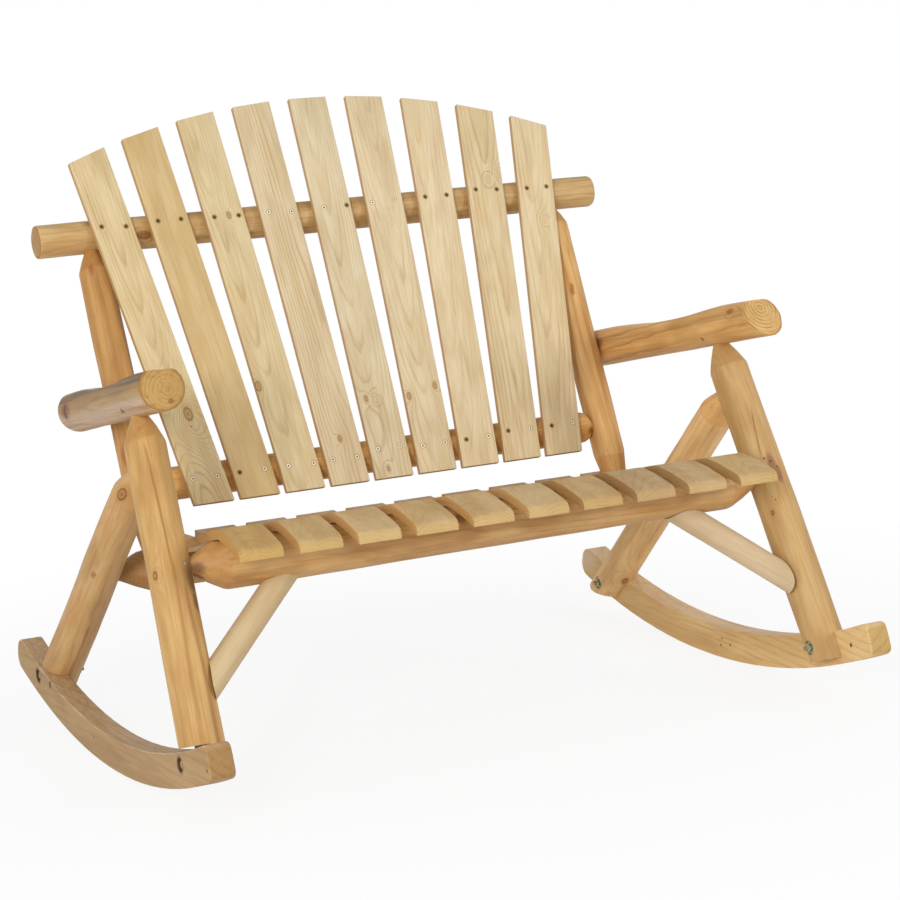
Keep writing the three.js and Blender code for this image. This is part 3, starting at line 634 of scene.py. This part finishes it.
# Braces: short peeled poles of a paler wood, saddled round the front leg at the foot and
# round the underside of the front beam at the head.
BRACES = {
    "left": {"colour": (200, 174, 132)},
    "right": {"colour": (204, 179, 141), "dots": [(300, 100, 1.4)]},
}
for label, side in SIDES.items():
    foot = front_leg_at(side, 89) - Vector((0, 20, 0))
    head = Vector((side * 334, FRONT_BEAM_HEIGHT * FRONT_LEAN + 14, FRONT_BEAM_HEIGHT))
    bm, lay, _ = peeled(foot, head, sawn_foot(23, 1), sawn_foot(23, 1), 7 + side, wave=0.8, flats=0.3,
                        steps=48)
    brace = made(f"{label}_brace", bm, lay)
    leg_foot, leg_head = front_leg_at(side, LEG_FOOT), front_leg_at(side, ARM_HEIGHT)
    for shift in (Vector(), Vector((-7, -20, 0))):
        bore(brace, lay_along(leg_foot + shift, leg_head + shift), 37.2, 0, 400, 48, tip=36)
    beam_ends = (front_leg_at(end, FRONT_BEAM_HEIGHT) for end in (-1, 1))
    bore(brace, lay_along(*beam_ends), 45, 120, 1010, 48, tip=42.8)
    bore(brace, lay_along(head, head - Vector((side * 300, 0, 0))), 44, 0, 300, 48)
    # Painted shade: the lower outer side of each brace is tinted greyer and darker.
    fit_wood(brace, f"brace_{label}", "pale_wood", lay, contrast=0.5, ring=2.6, show=0.1,
             streaks=0.12, fibre=0.2, seed=31 + side, pith=(2, 2), **marked(BRACES[label], dots=23),
             weather=[((side, 0, -0.4), 0.5, 1.0, (186, 158, 128), 0.6)])

# Seat slats: ten boards sawn to one curve, with a crest at the front, a hollow and a level
# rear end. They lie on the planed beams, a little closer together at the rear.
FRONT_PITCH, REAR_PITCH = 102.8, 97.9
# The eighth and ninth tones are set a little darker, as painted shade for the gaps there.
SEAT_TONES = [(191, 154, 96), (193, 160, 107), (197, 166, 116), (196, 163, 112), (197, 164, 113),
              (195, 164, 115), (190, 156, 104), (184, 153, 108), (192, 161, 115), (197, 166, 114)]
SEAT_MARKS = {
    1: {"knots": [(15, 26, 10, 1.8)]},
    2: {"dots": [(31, 12.5, 0, 1.5), (28.6, 14.6, 0, 1.8), (26.2, 16.7, 1, 1.6), (24, 18.6, 2, 1.1),
                 (37.5, 22, 26, 1.6)]},
}
curve = seat_curve()
del curve[1:3]
for i, mid in enumerate(SEAT_TONES):
    place = i - 4.5
    bm = bmesh.new()
    bmesh.ops.create_grid(bm, x_segments=6, y_segments=len(curve) - 1, size=1)
    for corner in bm.verts:
        step = round((corner.co.y + 1) / 2 * (len(curve) - 1))
        spot = curve[step][0]
        corner.co = Vector((corner.co.x * SEAT_SLAT_WIDTH / 2, spot.x, spot.y))
    outward(bm)
    if sum(face.normal.z for face in bm.faces) < 0:
        bmesh.ops.reverse_faces(bm, faces=bm.faces)
    bmesh.ops.solidify(bm, geom=bm.faces[:], thickness=SEAT_SLAT_THICKNESS)
    outward(bm)
    nose = [edge for edge in sharp_edges(bm) if all((corner.co.yz - SEAT_LINE[0]).length < 0.5
                                                    for corner in edge.verts)]
    ease(bm, nose, 16, 8)
    ease(bm, sharp_edges(bm), 2.6, 3)
    slant = -place * (FRONT_PITCH - REAR_PITCH) / (SEAT_REAR - SEAT_FRONT)
    shift = place * FRONT_PITCH - slant * SEAT_FRONT
    bmesh.ops.transform(bm, verts=bm.verts, matrix=Matrix(
        ((1, slant, 0, shift), (0, 1, 0, 0), (0, 0, 1, 0), (0, 0, 0, 1))))
    slat = made(f"seat_board_{i + 1}", bm)
    lay = lay_along(Vector((place * FRONT_PITCH, -7, 300)), Vector((place * REAR_PITCH, 545, 300)),
                    (0, 0, 1))
    # Painted shade: the side faces of the seventh to tenth slats are darkened for the shade in the gaps
    # between them.
    shade = 0.84 if i > 5 else 1
    fit_wood(slat, f"seat_slat_{i + 1}", "seat_wood", lay, mid, 0.7, seed=40 + i, ring=6, wander=8,
             show=0.16, pith=((-1) ** i * (12 + 5 * (i % 3)), -34 - 7 * (i % 4)),
             lean=(0.01, 0.03), fibre=0.2, streaks=0.2, wide=3, knot=(120, 84, 46),
             end=tuple(tone * share for tone, share in zip(mid, (1.02, 1.02, 0.96))),
             edge=tuple(tone * share * shade for tone, share in zip(mid, (0.99, 0.9, 0.76))),
             **SEAT_MARKS.get(i + 1, {}))

# Posts: logs that stand in the rear beam behind the seat and lean back, pointed at the
# foot, and pointed again at the top, where they carry the top rail.
RECLINE = radians(22.3)
POST_X = 466.5


def back_point(x, rise, ahead=0):
    """A place in the leaning plane of the back, measured up from the rear beam"""
    beam_y = BOLT_Y["rear"] - REAR_BEAM_HEIGHT * REAR_LEAN
    return Vector((x, beam_y + rise * sin(RECLINE) - ahead * cos(RECLINE),
                   REAR_BEAM_HEIGHT + rise * cos(RECLINE) + ahead * sin(RECLINE)))


POSTS = {
    "left": {"colour": (183, 135, 76), "dots": [(177.5, 35, 1.6)],
             "stains": [(236, 40, 14), (585, 60, 8)], "seams": [(8, 0, 60, 590, 7, 0.25)]},
    "right": {"colour": (206, 159, 96), "stains": [(443, 77, 5), (452, 80, 4)],
              "seams": [(-6, 0, 40, 420, 8, 0.3), (14, 0, 300, 600, 6, 0.25)]},
}
for label, side in SIDES.items():
    foot, head = (back_point(side * POST_X, rise) for rise in (-33, 615))
    bm, lay, length = peeled(foot, head, pencil(30, 87, 33), pencil(30, 34, 25), 11 + side)
    fit_wood(made(f"{label}_back_post", bm, lay), f"back_post_{label}", "log_wood", lay,
             stain=(158, 92, 52), seed=13 + side, show=0.18, contrast=1.2, pith=(3, -3),
             lean=(0.006, -0.005), points=(114, length - 60, 0.4),
             **marked(POSTS[label], dots=30, stains=30))

# Rails: the long log on top of the posts, sawn square and eased at its ends, and the
# short one between the posts, pointed into them.
RAIL_RADIUS = 30
TOP_RAIL_KNOTS = [(196.5, 99, 5)]
left, right = (back_point(side * 565.5, 620) for side in (-1, 1))
sawn = sawn_foot(RAIL_RADIUS, 4)
bm, lay, _ = peeled(left, right, sawn, sawn, 15, on_log(RAIL_RADIUS, TOP_RAIL_KNOTS), wave=1.2,
                    flats=0.4)
fit_wood(made("back_top_rail", bm, lay), "top_rail", "log_wood", lay, (190, 152, 97), 1.5, seed=17,
         show=0.3, knots=on_log(RAIL_RADIUS, TOP_RAIL_KNOTS), rim=RAIL_RADIUS, end=(170, 135, 88),
         stains=on_log(RAIL_RADIUS, [(108, 30, 12), (192, 96, 9)]), stain=(108, 64, 36),
         pith=(2, 5), lean=(0.004, -0.006), streaks=0.45)

left, right = (back_point(side * 461.5, 146) for side in (-1, 1))
blunt = [(0, 0), (14, 0), (14, 25), (20, 26.5), (25, 31), (28.5, 39), (RAIL_RADIUS, 52)]
bm, lay, _ = peeled(left, right, blunt, blunt, 16, wave=1.2, flats=0.4)
# Painted light: the low rail's colour is set paler than its wood, to make up for the little light that
# reaches it.
fit_wood(made("back_low_rail", bm, lay), "low_rail", "log_wood", lay, (206, 157, 89), 1.2, seed=19,
         show=0.25, pith=(-3, 4), lean=(-0.005, 0.006),
         stains=on_log(22, [(898, 100, 9), (898, 30, 9)]), stain=(92, 52, 26))

# Back slats: nine thin planed boards that fan out on the front of the rails and end in
# one crowned line. Two countersunk screws hold each at each rail.
SLAT_HALF, SLAT_THICKNESS, SLAT_FOOT, SLAT_PITCH, SLAT_FAN = 37.5, 11, 92, 88, radians(2.1)
CROWN_RADIUS, CROWN_TOP = 1305, 844
BACK_SLATS = [
    {"colour": (215, 191, 144), "knots": [(-10.4, 5.5, 167, 7.5)], "dots": [(-8.1, 5.5, 143.7, 1.6)],
     "swirls": [(-8, 5.5, 148, 10)], "bend": 13, "pith": (10, -30), "lean": (-0.02, 0.02),
     "show": 0.42, "ring": 4.6,
     "screws": ((541, 20.5), (531, -23.9), (52.2, 23.2), (44.1, -22.1)), "dull": (0, 1)},
    {"colour": (207, 178, 126), "pith": (-60, -20), "lean": (0, 0.01), "show": 0.12, "ring": 4,
     "screws": ((539, 20.8), (534, -22.9), (51.1, 24.6), (46.4, -23.7)), "dull": (0, 1, 2)},
    {"colour": (213, 191, 146), "knots": [(-8.1, 5.5, 532.9, 4), (33, 5.5, 205, 5.5)],
     "pith": (8, -42), "lean": (0.01, 0.05), "show": 0.3,
     "screws": ((534, 20.2), (529.7, -27.2), (49.6, 20.4), (44.8, -28.3)), "dull": (0, 1)},
    {"colour": (213, 191, 151), "knots": [(-0.5, 5.5, 85.2, 3.8)], "pith": (-34, -30),
     "lean": (0.01, 0.02), "show": 0.4,
     "screws": ((532, 20.3), (528.2, -24.8), (49.2, 22.7), (46.7, -24.9))},
    {"colour": (215, 196, 158), "knots": [(21.9, 5.5, 153.7, 3.4), (9.5, 5.5, 17.1, 3)],
     "swirls": [(4.8, 5.5, 150, 5)], "pith": (15, -50), "lean": (-0.01, 0.05), "show": 0.3,
     "screws": ((530.4, 16.7), (530.9, -29.3), (56.8, 20.8), (57, -23.5)), "dull": (1,)},
    {"colour": (218, 197, 157), "knots": [(29.4, 5.5, 147.3, 4.2), (-26.5, 5.5, 163.3, 4)],
     "swirls": [(-4.7, 5.5, 495.7, 3)], "pith": (-8, -60), "lean": (0.01, 0.06), "show": 0.26,
     "screws": ((530.8, 24.3), (533.4, -21.5), (50.4, 21.3), (52.7, -24.7))},
    {"colour": (221, 199, 158), "pith": (28, -52), "lean": (-0.02, 0.05), "show": 0.2, "ring": 5.5,
     "screws": ((532.9, 22.1), (536.1, -23), (50.2, 21.7), (54.7, -25)), "dull": (0, 1, 2)},
    {"colour": (219, 196, 153), "swirls": [(-33.3, 5.5, 578.8, 5), (-7.6, 5.5, 561.6, 4)],
     "pith": (-16, -48), "lean": (0.015, 0.03), "show": 0.36,
     "screws": ((539.5, 21.3), (540.9, -23), (55.2, 23.1), (59.1, -23.8)), "dull": (0, 1, 2)},
    {"colour": (220, 197, 154), "swirls": [(-8.8, 5.5, 470, 5)], "pith": (10, -46),
     "lean": (-0.01, 0.04), "show": 0.26,
     "screws": ((534.8, 19.3), (540.7, -23.1), (53.3, 21), (61, -24.2)), "dull": (0, 1, 2)},
]


def crown_height(centre_x, turn, edge):
    """How far a slat's edge runs from its foot up to the crowned line"""
    start_x, start_z = centre_x + edge / cos(turn), SLAT_FOOT - (CROWN_TOP - CROWN_RADIUS)
    along = start_x * sin(turn) + start_z * cos(turn)
    return sqrt(along ** 2 - start_x ** 2 - start_z ** 2 + CROWN_RADIUS ** 2) - along


def steel(name, bright, dull, rough, metal, wear_and_painted_light=(70, 52, 38), seed=0):
    """Plated steel gone patchy out of doors"""
    material, shader, place, _ = fresh_material(name)
    patches = place.scaled(0.006, 0.006, seed).clouds(3.0)
    specks = place.scaled(0.0015, 0.0015, seed + 1).clouds(2.0)
    colour = patches.rise(0.35, 0.65).mix(paint(*bright), paint(*dull))
    colour = colour.tint(specks.rise(0.52, 0.75) * 0.6, paint(*wear_and_painted_light))
    colour.into(shader.inputs["Base Color"])
    (specks * 0.3 + rough - 0.1).into(shader.inputs["Roughness"])
    shader.inputs["Metallic"].default_value = metal
    return material


def gather(bm, added):
    """Adds one finished shape to a mesh that holds several"""
    single = bpy.data.meshes.new("single_shape")
    added.to_mesh(single)
    added.free()
    bm.from_mesh(single)
    bpy.data.meshes.remove(single)


screw_heads = {"bright": bmesh.new(), "dull": bmesh.new()}
for i, look in enumerate(BACK_SLATS):
    screws, dull = look.pop("screws"), look.pop("dull", ())
    turn, centre_x = SLAT_FAN * (i - 4), SLAT_PITCH * (i - 4)
    corners = []
    for edge, heights in ((-SLAT_HALF, 1), (SLAT_HALF, -1)):
        foot_up = edge * tan(turn)
        corners += [(edge, foot_up), (edge, foot_up + crown_height(centre_x, turn, edge))][::heights]
    bm = bmesh.new()
    outline = [bm.verts.new((-across, -SLAT_THICKNESS / 2, along)) for across, along in corners]
    board = bmesh.ops.extrude_face_region(bm, geom=[bm.faces.new(outline)])["geom"]
    bmesh.ops.translate(bm, verts=[part for part in board if isinstance(part, bmesh.types.BMVert)],
                        vec=(0, SLAT_THICKNESS, 0))
    outward(bm)
    ease(bm, bm.edges[:], 1.2, 3)
    foot = back_point(centre_x, SLAT_FOOT, RAIL_RADIUS + SLAT_THICKNESS / 2 + GAP)
    uphill = Vector((sin(turn), cos(turn) * sin(RECLINE), cos(turn) * cos(RECLINE)))
    lay = lay_along(foot, foot + uphill, (0, -cos(RECLINE), sin(RECLINE)))
    slat = made(f"back_board_{i + 1}", bm, lay)
    pits = bmesh.new()
    for k, (along, across) in enumerate(screws):
        seat = (Matrix.Translation((across, SLAT_THICKNESS / 2, along))
                @ Matrix.Rotation(-pi / 2, 4, "X"))
        finish, size = ("dull", 0.82) if k in dull else ("bright", 1.15)
        bmesh.ops.create_cone(pits, cap_ends=True, segments=20, radius1=2.2, radius2=4.4 * size,
                              depth=4.2, matrix=seat @ Matrix.Translation((0, 0, -1)))
        rim = [(1.7 * size, -0.4), (3.1 * size, -0.3), (3.7 * size, -0.6), (2.1, -2.8),
               (1.7 * size, -2.8)]
        # Painted shade: a dark disc at the foot of each head's socket stands for the shade in the drive
        # recess.
        socket = [(0, -1.4), (1.8 * size, -1.4), (1.8 * size, -2.7), (0, -2.7)]
        for share, profile in ((finish, [*rim, rim[0]]), ("dull", socket)):
            head = lathe(profile, 20)
            bmesh.ops.transform(head, matrix=AT_REST.inverted() @ lay @ seat, verts=head.verts)
            gather(screw_heads[share], head)
    cut(slat, made("pit_tool", pits, lay))
    fit_wood(slat, f"back_slat_{i + 1}", "straw_wood", lay, seed=60 + i, contrast=0.5, wander=6,
             fibre=0.25, figure=24, wide=2.2, streaks=0.3, knot=(128, 102, 64),
             edge=(190, 146, 96), end=(150, 122, 90), rough=0.58, relief=0.15,
             bruises=[(across, 5.5, along, 4.4) for along, across in screws],
             **{"ring": 5, **look})
fit(made("bright_back_screws", screw_heads["bright"]), None,
    steel("bright_screw_steel", (254, 250, 228), (244, 234, 200), rough=0.45, metal=0.05,
          wear_and_painted_light=(206, 188, 150)))
fit(made("dull_back_screws", screw_heads["dull"]), None,
    steel("dull_screw_steel", (98, 78, 50), (72, 52, 32), rough=0.6, metal=0.25))

# Arms: heavy logs that lie on the pencil points of the front legs and run back past the
# posts. Each has a slanted sawn face in front, a top hollowed with the draw knife and a
# rounded rear end, and is pinned to the leg and bolted to the post.
ARM_RADIUS, ARM_REACH, ARM_TAIL, PIN_HEIGHT = 38, 160, 81, 533
ARM_REAR_X, ARM_REAR_RISE = 534.8, 280 / cos(RECLINE)


def arm_at(side, along):
    """A place on the arm's axis, measured backwards from above the front leg"""
    front = front_leg_at(side, ARM_HEIGHT) - Vector((side * 2, 0, 0))
    rear = back_point(side * ARM_REAR_X, ARM_REAR_RISE)
    return front + (rear - front).normalized() * along


ARM_TOP = [(-160, 30), (-55, 31), (60, 24), (190, 25), (300, 32), (431.4, 32)]


def arm_top_at(along):
    """The height that the draw knife left above the arm's axis"""
    for i, ((start, low), (stop, high)) in enumerate(zip(ARM_TOP, ARM_TOP[1:])):
        if along <= stop:
            before = ARM_TOP[max(i - 1, 0)]
            after = ARM_TOP[min(i + 2, len(ARM_TOP) - 1)]
            share = (along - start) / (stop - start)
            leave = (high - before[1]) / (stop - before[0]) * (stop - start)
            arrive = (after[1] - low) / (after[0] - start) * (stop - start)
            return flow(share, low, high, leave, arrive)
    return ARM_TOP[-1][1]


ARMS = {
    "left": {
        "slant": 8, "colour": (186, 145, 84), "end": (178, 142, 84), "ring": 6.5, "pith": (-9, -3),
        "show": 0.3, "bend": 0.8, "streaks": 0.5, "wide": 9, "knots": [], "knot": (96, 58, 34),
        "dots": [(515, 8, 8.5), (519, -10, 9.5)], "stains": [(516, 0, 20)], "stain": (124, 58, 42),
        # Grey weathered side, dark streaks on its upper part, paler along the lower side, and a painted
        # highlight along the top.
        "weather": [((-0.8, 0, 0.6), -0.3, 0.25, (152, 126, 86), 0.85),
                    ((-0.66, 0, 0.75), 0.62, 0.93, (88, 66, 38), 0.9),
                    ((-0.7, 0, -0.7), 0.7, 1.0, (218, 192, 172), 0.6),
                    ((0, 0, 1), 0.9, 1.0, (214, 198, 186), 0.6)]},
    "right": {
        "slant": 26, "colour": (214, 167, 104), "end": (212, 175, 112), "ring": 7, "pith": (-2, 15),
        "show": 0.55, "knots": [(49, 25.4, 4)], "stains": [(505, 10, 12), (49, 25, 8)],
        "stain": (150, 84, 44),
        # A brown streak on the side, and a pale top that is partly bleached wood and partly a painted
        # highlight where the planed top catches the light.
        "weather": [((-0.97, 0, 0.25), 0.975, 1.0, (140, 96, 50), 0.5),
                    ((0, 0, 1), 0.8, 1.0, (232, 204, 178), 0.55)]},
}
for label, side in SIDES.items():
    look = marked(ARMS[label], knots=37, dots=ARM_RADIUS, stains=37)
    slant = tan(radians(look.pop("slant")))
    at_post = back_point(side * ARM_REAR_X, ARM_REAR_RISE)
    length = (at_post - arm_at(side, 0)).length + ARM_TAIL + ARM_REACH
    rear_dome = [(0, 0), (18, 0.4), (27, 3.5), (33, 9), (36.6, 15), (ARM_RADIUS, 22)]
    profile = [(0, 0), (36.8, 0), (37.6, 0.4), (ARM_RADIUS, 1.4)] + mirrored(rear_dome, length)
    bm = lathe(log_profile(profile, 7), 64)
    peel(bm, 21 + side, on_log(ARM_RADIUS, ARMS[label]["knots"]), wave=1.2)
    for corner in bm.verts:
        _, height, along = corner.co
        over = arm_top_at(along - ARM_REACH)
        overlap = max(6 - abs(height - over), 0) / 6
        height = min(height, over) - overlap ** 2 * 1.5 * (height > -20)
        corner.co.y = height
        corner.co.z = along + height * slant * max(0, 1 - along / 130)
    lay = lay_along(arm_at(side, -ARM_REACH), arm_at(side, 0), (0, 0, 1))
    arm = made(f"{label}_arm", bm, lay)
    leg_foot, leg_head = front_leg_at(side, LEG_FOOT), front_leg_at(side, ARM_HEIGHT)
    reach = (short_of(leg_foot, leg_head, TENON_SHORT) - leg_foot).length
    bore(arm, lay_along(leg_foot, leg_head), 14.3, reach - 90, reach + GAP, 32)
    bore(arm, lay_across(front_leg_at(side, PIN_HEIGHT)), 4.1, -90, 90, 20)
    if label == "left":
        look["knots"].append((-11.2, -22.8, -3.2, 3.6))
    fit_wood(arm, f"arm_{label}", "log_wood", lay, seed=27 + side, lean=(0.01, -0.008), wander=3,
             rim=ARM_RADIUS, **look)

# Bolts, washers, nuts, pins and lag bolts: plated steel, dulled out of doors. A carriage
# bolt crosses each lap of runner and leg, with its round head sunk in the runner.
bolt_steel = steel("bolt_steel", (190, 164, 122), (146, 120, 84), rough=0.55, metal=0.3)
pin_steel = steel("pin_steel", (176, 164, 140), (128, 116, 96), rough=0.5, metal=0.4)
nut_steel = steel("nut_steel", (186, 192, 156), (134, 142, 108), rough=0.4, metal=0.4, seed=3)


def hexagon(depth, middle):
    """The hexagon of a nut or a bolt head, eased along its edges"""
    bm = bmesh.new()
    bmesh.ops.create_cone(bm, cap_ends=True, segments=6, radius1=8, radius2=8, depth=depth,
                          matrix=Matrix.Translation((0, 0, middle)))
    ease(bm, sharp_edges(bm), 0.7, 2)
    return bm


for label, side in SIDES.items():
    for end, inside in WASHER_X.items():
        lay = lay_across(Vector((side * inside, BOLT_Y[end], 0)), side)
        seat = RECESS_X + GAP - inside
        dome = [(4, seat), (8, seat), (7.7, seat + 1.2), (6.6, seat + 2.6), (4.4, seat + 3.6),
                (0, seat + 4)]
        thread = [(0, -14.9), (3.2, -14.9), (4, -14)]
        thread += [(4 - 0.45 * (k % 2), -13.4 + 0.6 * k) for k in range(8)]
        fit(made(f"{label}_{end}_carriage_bolt", lathe(thread + [(4, -8)] + dome, 32), lay),
            f"{end}_bolt_{label}", bolt_steel)
        ring = [(4.3, -0.6), (10.6, -0.6), (11, -0.9), (11, -2), (10.6, -2.3), (4.3, -2.3), (4.3, -0.6)]
        fit(made(f"{label}_{end}_flat_washer", lathe(ring, 32), lay),
            f"{end}_washer_{label}", nut_steel)
        nut = made(f"{label}_{end}_hex_nut", hexagon(6.6, -6), lay)
        bore(nut, lay, 4.3, -20, 5, 24)
        fit(nut, f"{end}_nut_{label}", nut_steel)

    half = sqrt(ARM_RADIUS ** 2 - (ARM_HEIGHT - PIN_HEIGHT) ** 2) - 0.6
    pin = lathe([(0, -half), (3, -half), (3.5, 0.6 - half), (3.5, half - 0.6), (3, half), (0, half)],
                20)
    fit(made(f"{label}_arm_cross_pin", pin, lay_across(front_leg_at(side, PIN_HEIGHT))),
        f"arm_pin_{label}", pin_steel)

    inset = 18
    centre = front_leg_at(side, FRONT_BEAM_HEIGHT) - Vector((side * inset, 0, 0))
    square_off = Vector((0, -cos(FRONT_TILT), sin(FRONT_TILT)))
    half = sqrt(FRONT_LEG_RADIUS ** 2 - inset ** 2) - 2
    pin = lathe([(0, -16), (3.5, -16), (3.5, half - 0.6), (3, half), (0, half)], 20)
    fit(made(f"{label}_beam_cross_pin", pin, lay_along(centre, centre + square_off, (1, 0, 0))),
        f"beam_pin_{label}", pin_steel)

    centre = back_point(side * ARM_REAR_X, ARM_REAR_RISE)
    seat = Vector((side * (POST_X - 26), centre.y, centre.z))
    lay = lay_along(seat, seat + Vector((side, 0, 0)), (0, 0, 1))
    bm = hexagon(6, -3)
    gather(bm, lathe([(0, 0), (4, 0), (4, 66), (0, 74)], 20))
    fit(made(f"{label}_lag_screw", bm, lay), f"lag_bolt_{label}", nut_steel)

# Floor, light and camera: a plain white floor that keeps the bench's soft shadow, studio
# light from the front, and the camera where the photograph was taken.
def seen_by_eye(tree):
    """One where the camera looks, straight on or by gloss or glass, and zero for light"""
    outputs = tree.nodes.new("ShaderNodeLightPath").outputs
    seen = Reading(outputs["Is Camera Ray"])
    for kind in ("Is Glossy Ray", "Is Transmission Ray"):
        seen = seen.math("MAXIMUM", Reading(outputs[kind]))
    return seen


bm = bmesh.new()
bmesh.ops.create_grid(bm, x_segments=1, y_segments=1, size=60)
floor = made("floor", bm, Matrix())
floor_paint, _, where, _ = fresh_material("floor_paint")
floor.data.materials.append(floor_paint)
seen = seen_by_eye(floor_paint.node_tree)
glow = seen.node("Emission", {}, {"Color": (1, 1, 1, 1), "Strength": 1.0})
matt = seen.node("BsdfDiffuse", {}, {"Color": (0.94, 0.94, 0.94, 1)})
away = where.vector("LENGTH", output="Value")
both = seen.node("MixShader", {},
                 {0: seen * (away.rise(0.6, 1.8) * 0.12 + 0.88), 1: matt, 2: glow})
both.into(floor_paint.node_tree.nodes["Material Output"].inputs["Surface"])

world = bpy.data.worlds.new("studio")
scene.world = world
world.use_nodes = True
tree = world.node_tree
seen = seen_by_eye(tree)
(seen * 0.52 + 0.48).into(tree.nodes["Background"].inputs["Strength"])
tree.nodes["Background"].inputs["Color"].default_value = (1, 1, 1, 1)

for name, where, width, height, power in (("left_lamp", (-2.9, -3.3, 1.8), 0.4, 1.4, 74),
                                          ("right_lamp", (2.7, -3.4, 1.8), 0.4, 1.4, 53),
                                          ("low_lamp", (-6, -2.6, 1.1), 3.0, 3.0, 80)):
    lamp = bpy.data.lights.new(name, "AREA")
    lamp.shape = "RECTANGLE"
    lamp.size, lamp.size_y, lamp.energy = width, height, power
    holder = placed(name, lamp)
    holder.location = where
    holder.rotation_mode = "QUATERNION"
    holder.rotation_quaternion = (Vector((0, 0, 0.5)) - Vector(where)).to_track_quat("-Z", "Y")

PHOTO_SIZE, FOCAL_LENGTH, SIGHT_X, SIGHT_Y = 900, 2568.32, 456.725, 439.675
camera = bpy.data.cameras.new("camera")
camera.sensor_width = 36
camera.lens = FOCAL_LENGTH * camera.sensor_width / PHOTO_SIZE
camera.shift_x = (PHOTO_SIZE / 2 - SIGHT_X) / PHOTO_SIZE
camera.shift_y = (SIGHT_Y - PHOTO_SIZE / 2) / PHOTO_SIZE
viewpoint = placed("camera", camera)
right = Vector((0.898402, -0.433913, -0.067774))
down = Vector((-0.122428, -0.099242, -0.987503))
ahead = Vector((0.421764, 0.895472, -0.142283))
_, rocked, _ = AT_REST.decompose()
viewpoint.matrix_world = (Matrix.Translation(AT_REST @ Vector((-1872.94, -3746.242, 1047.989)))
                          @ rocked.to_matrix().to_4x4()
                          @ Matrix((right, -down, -ahead)).transposed().to_4x4())
scene.camera = viewpoint
scene.view_settings.view_transform = "Standard"
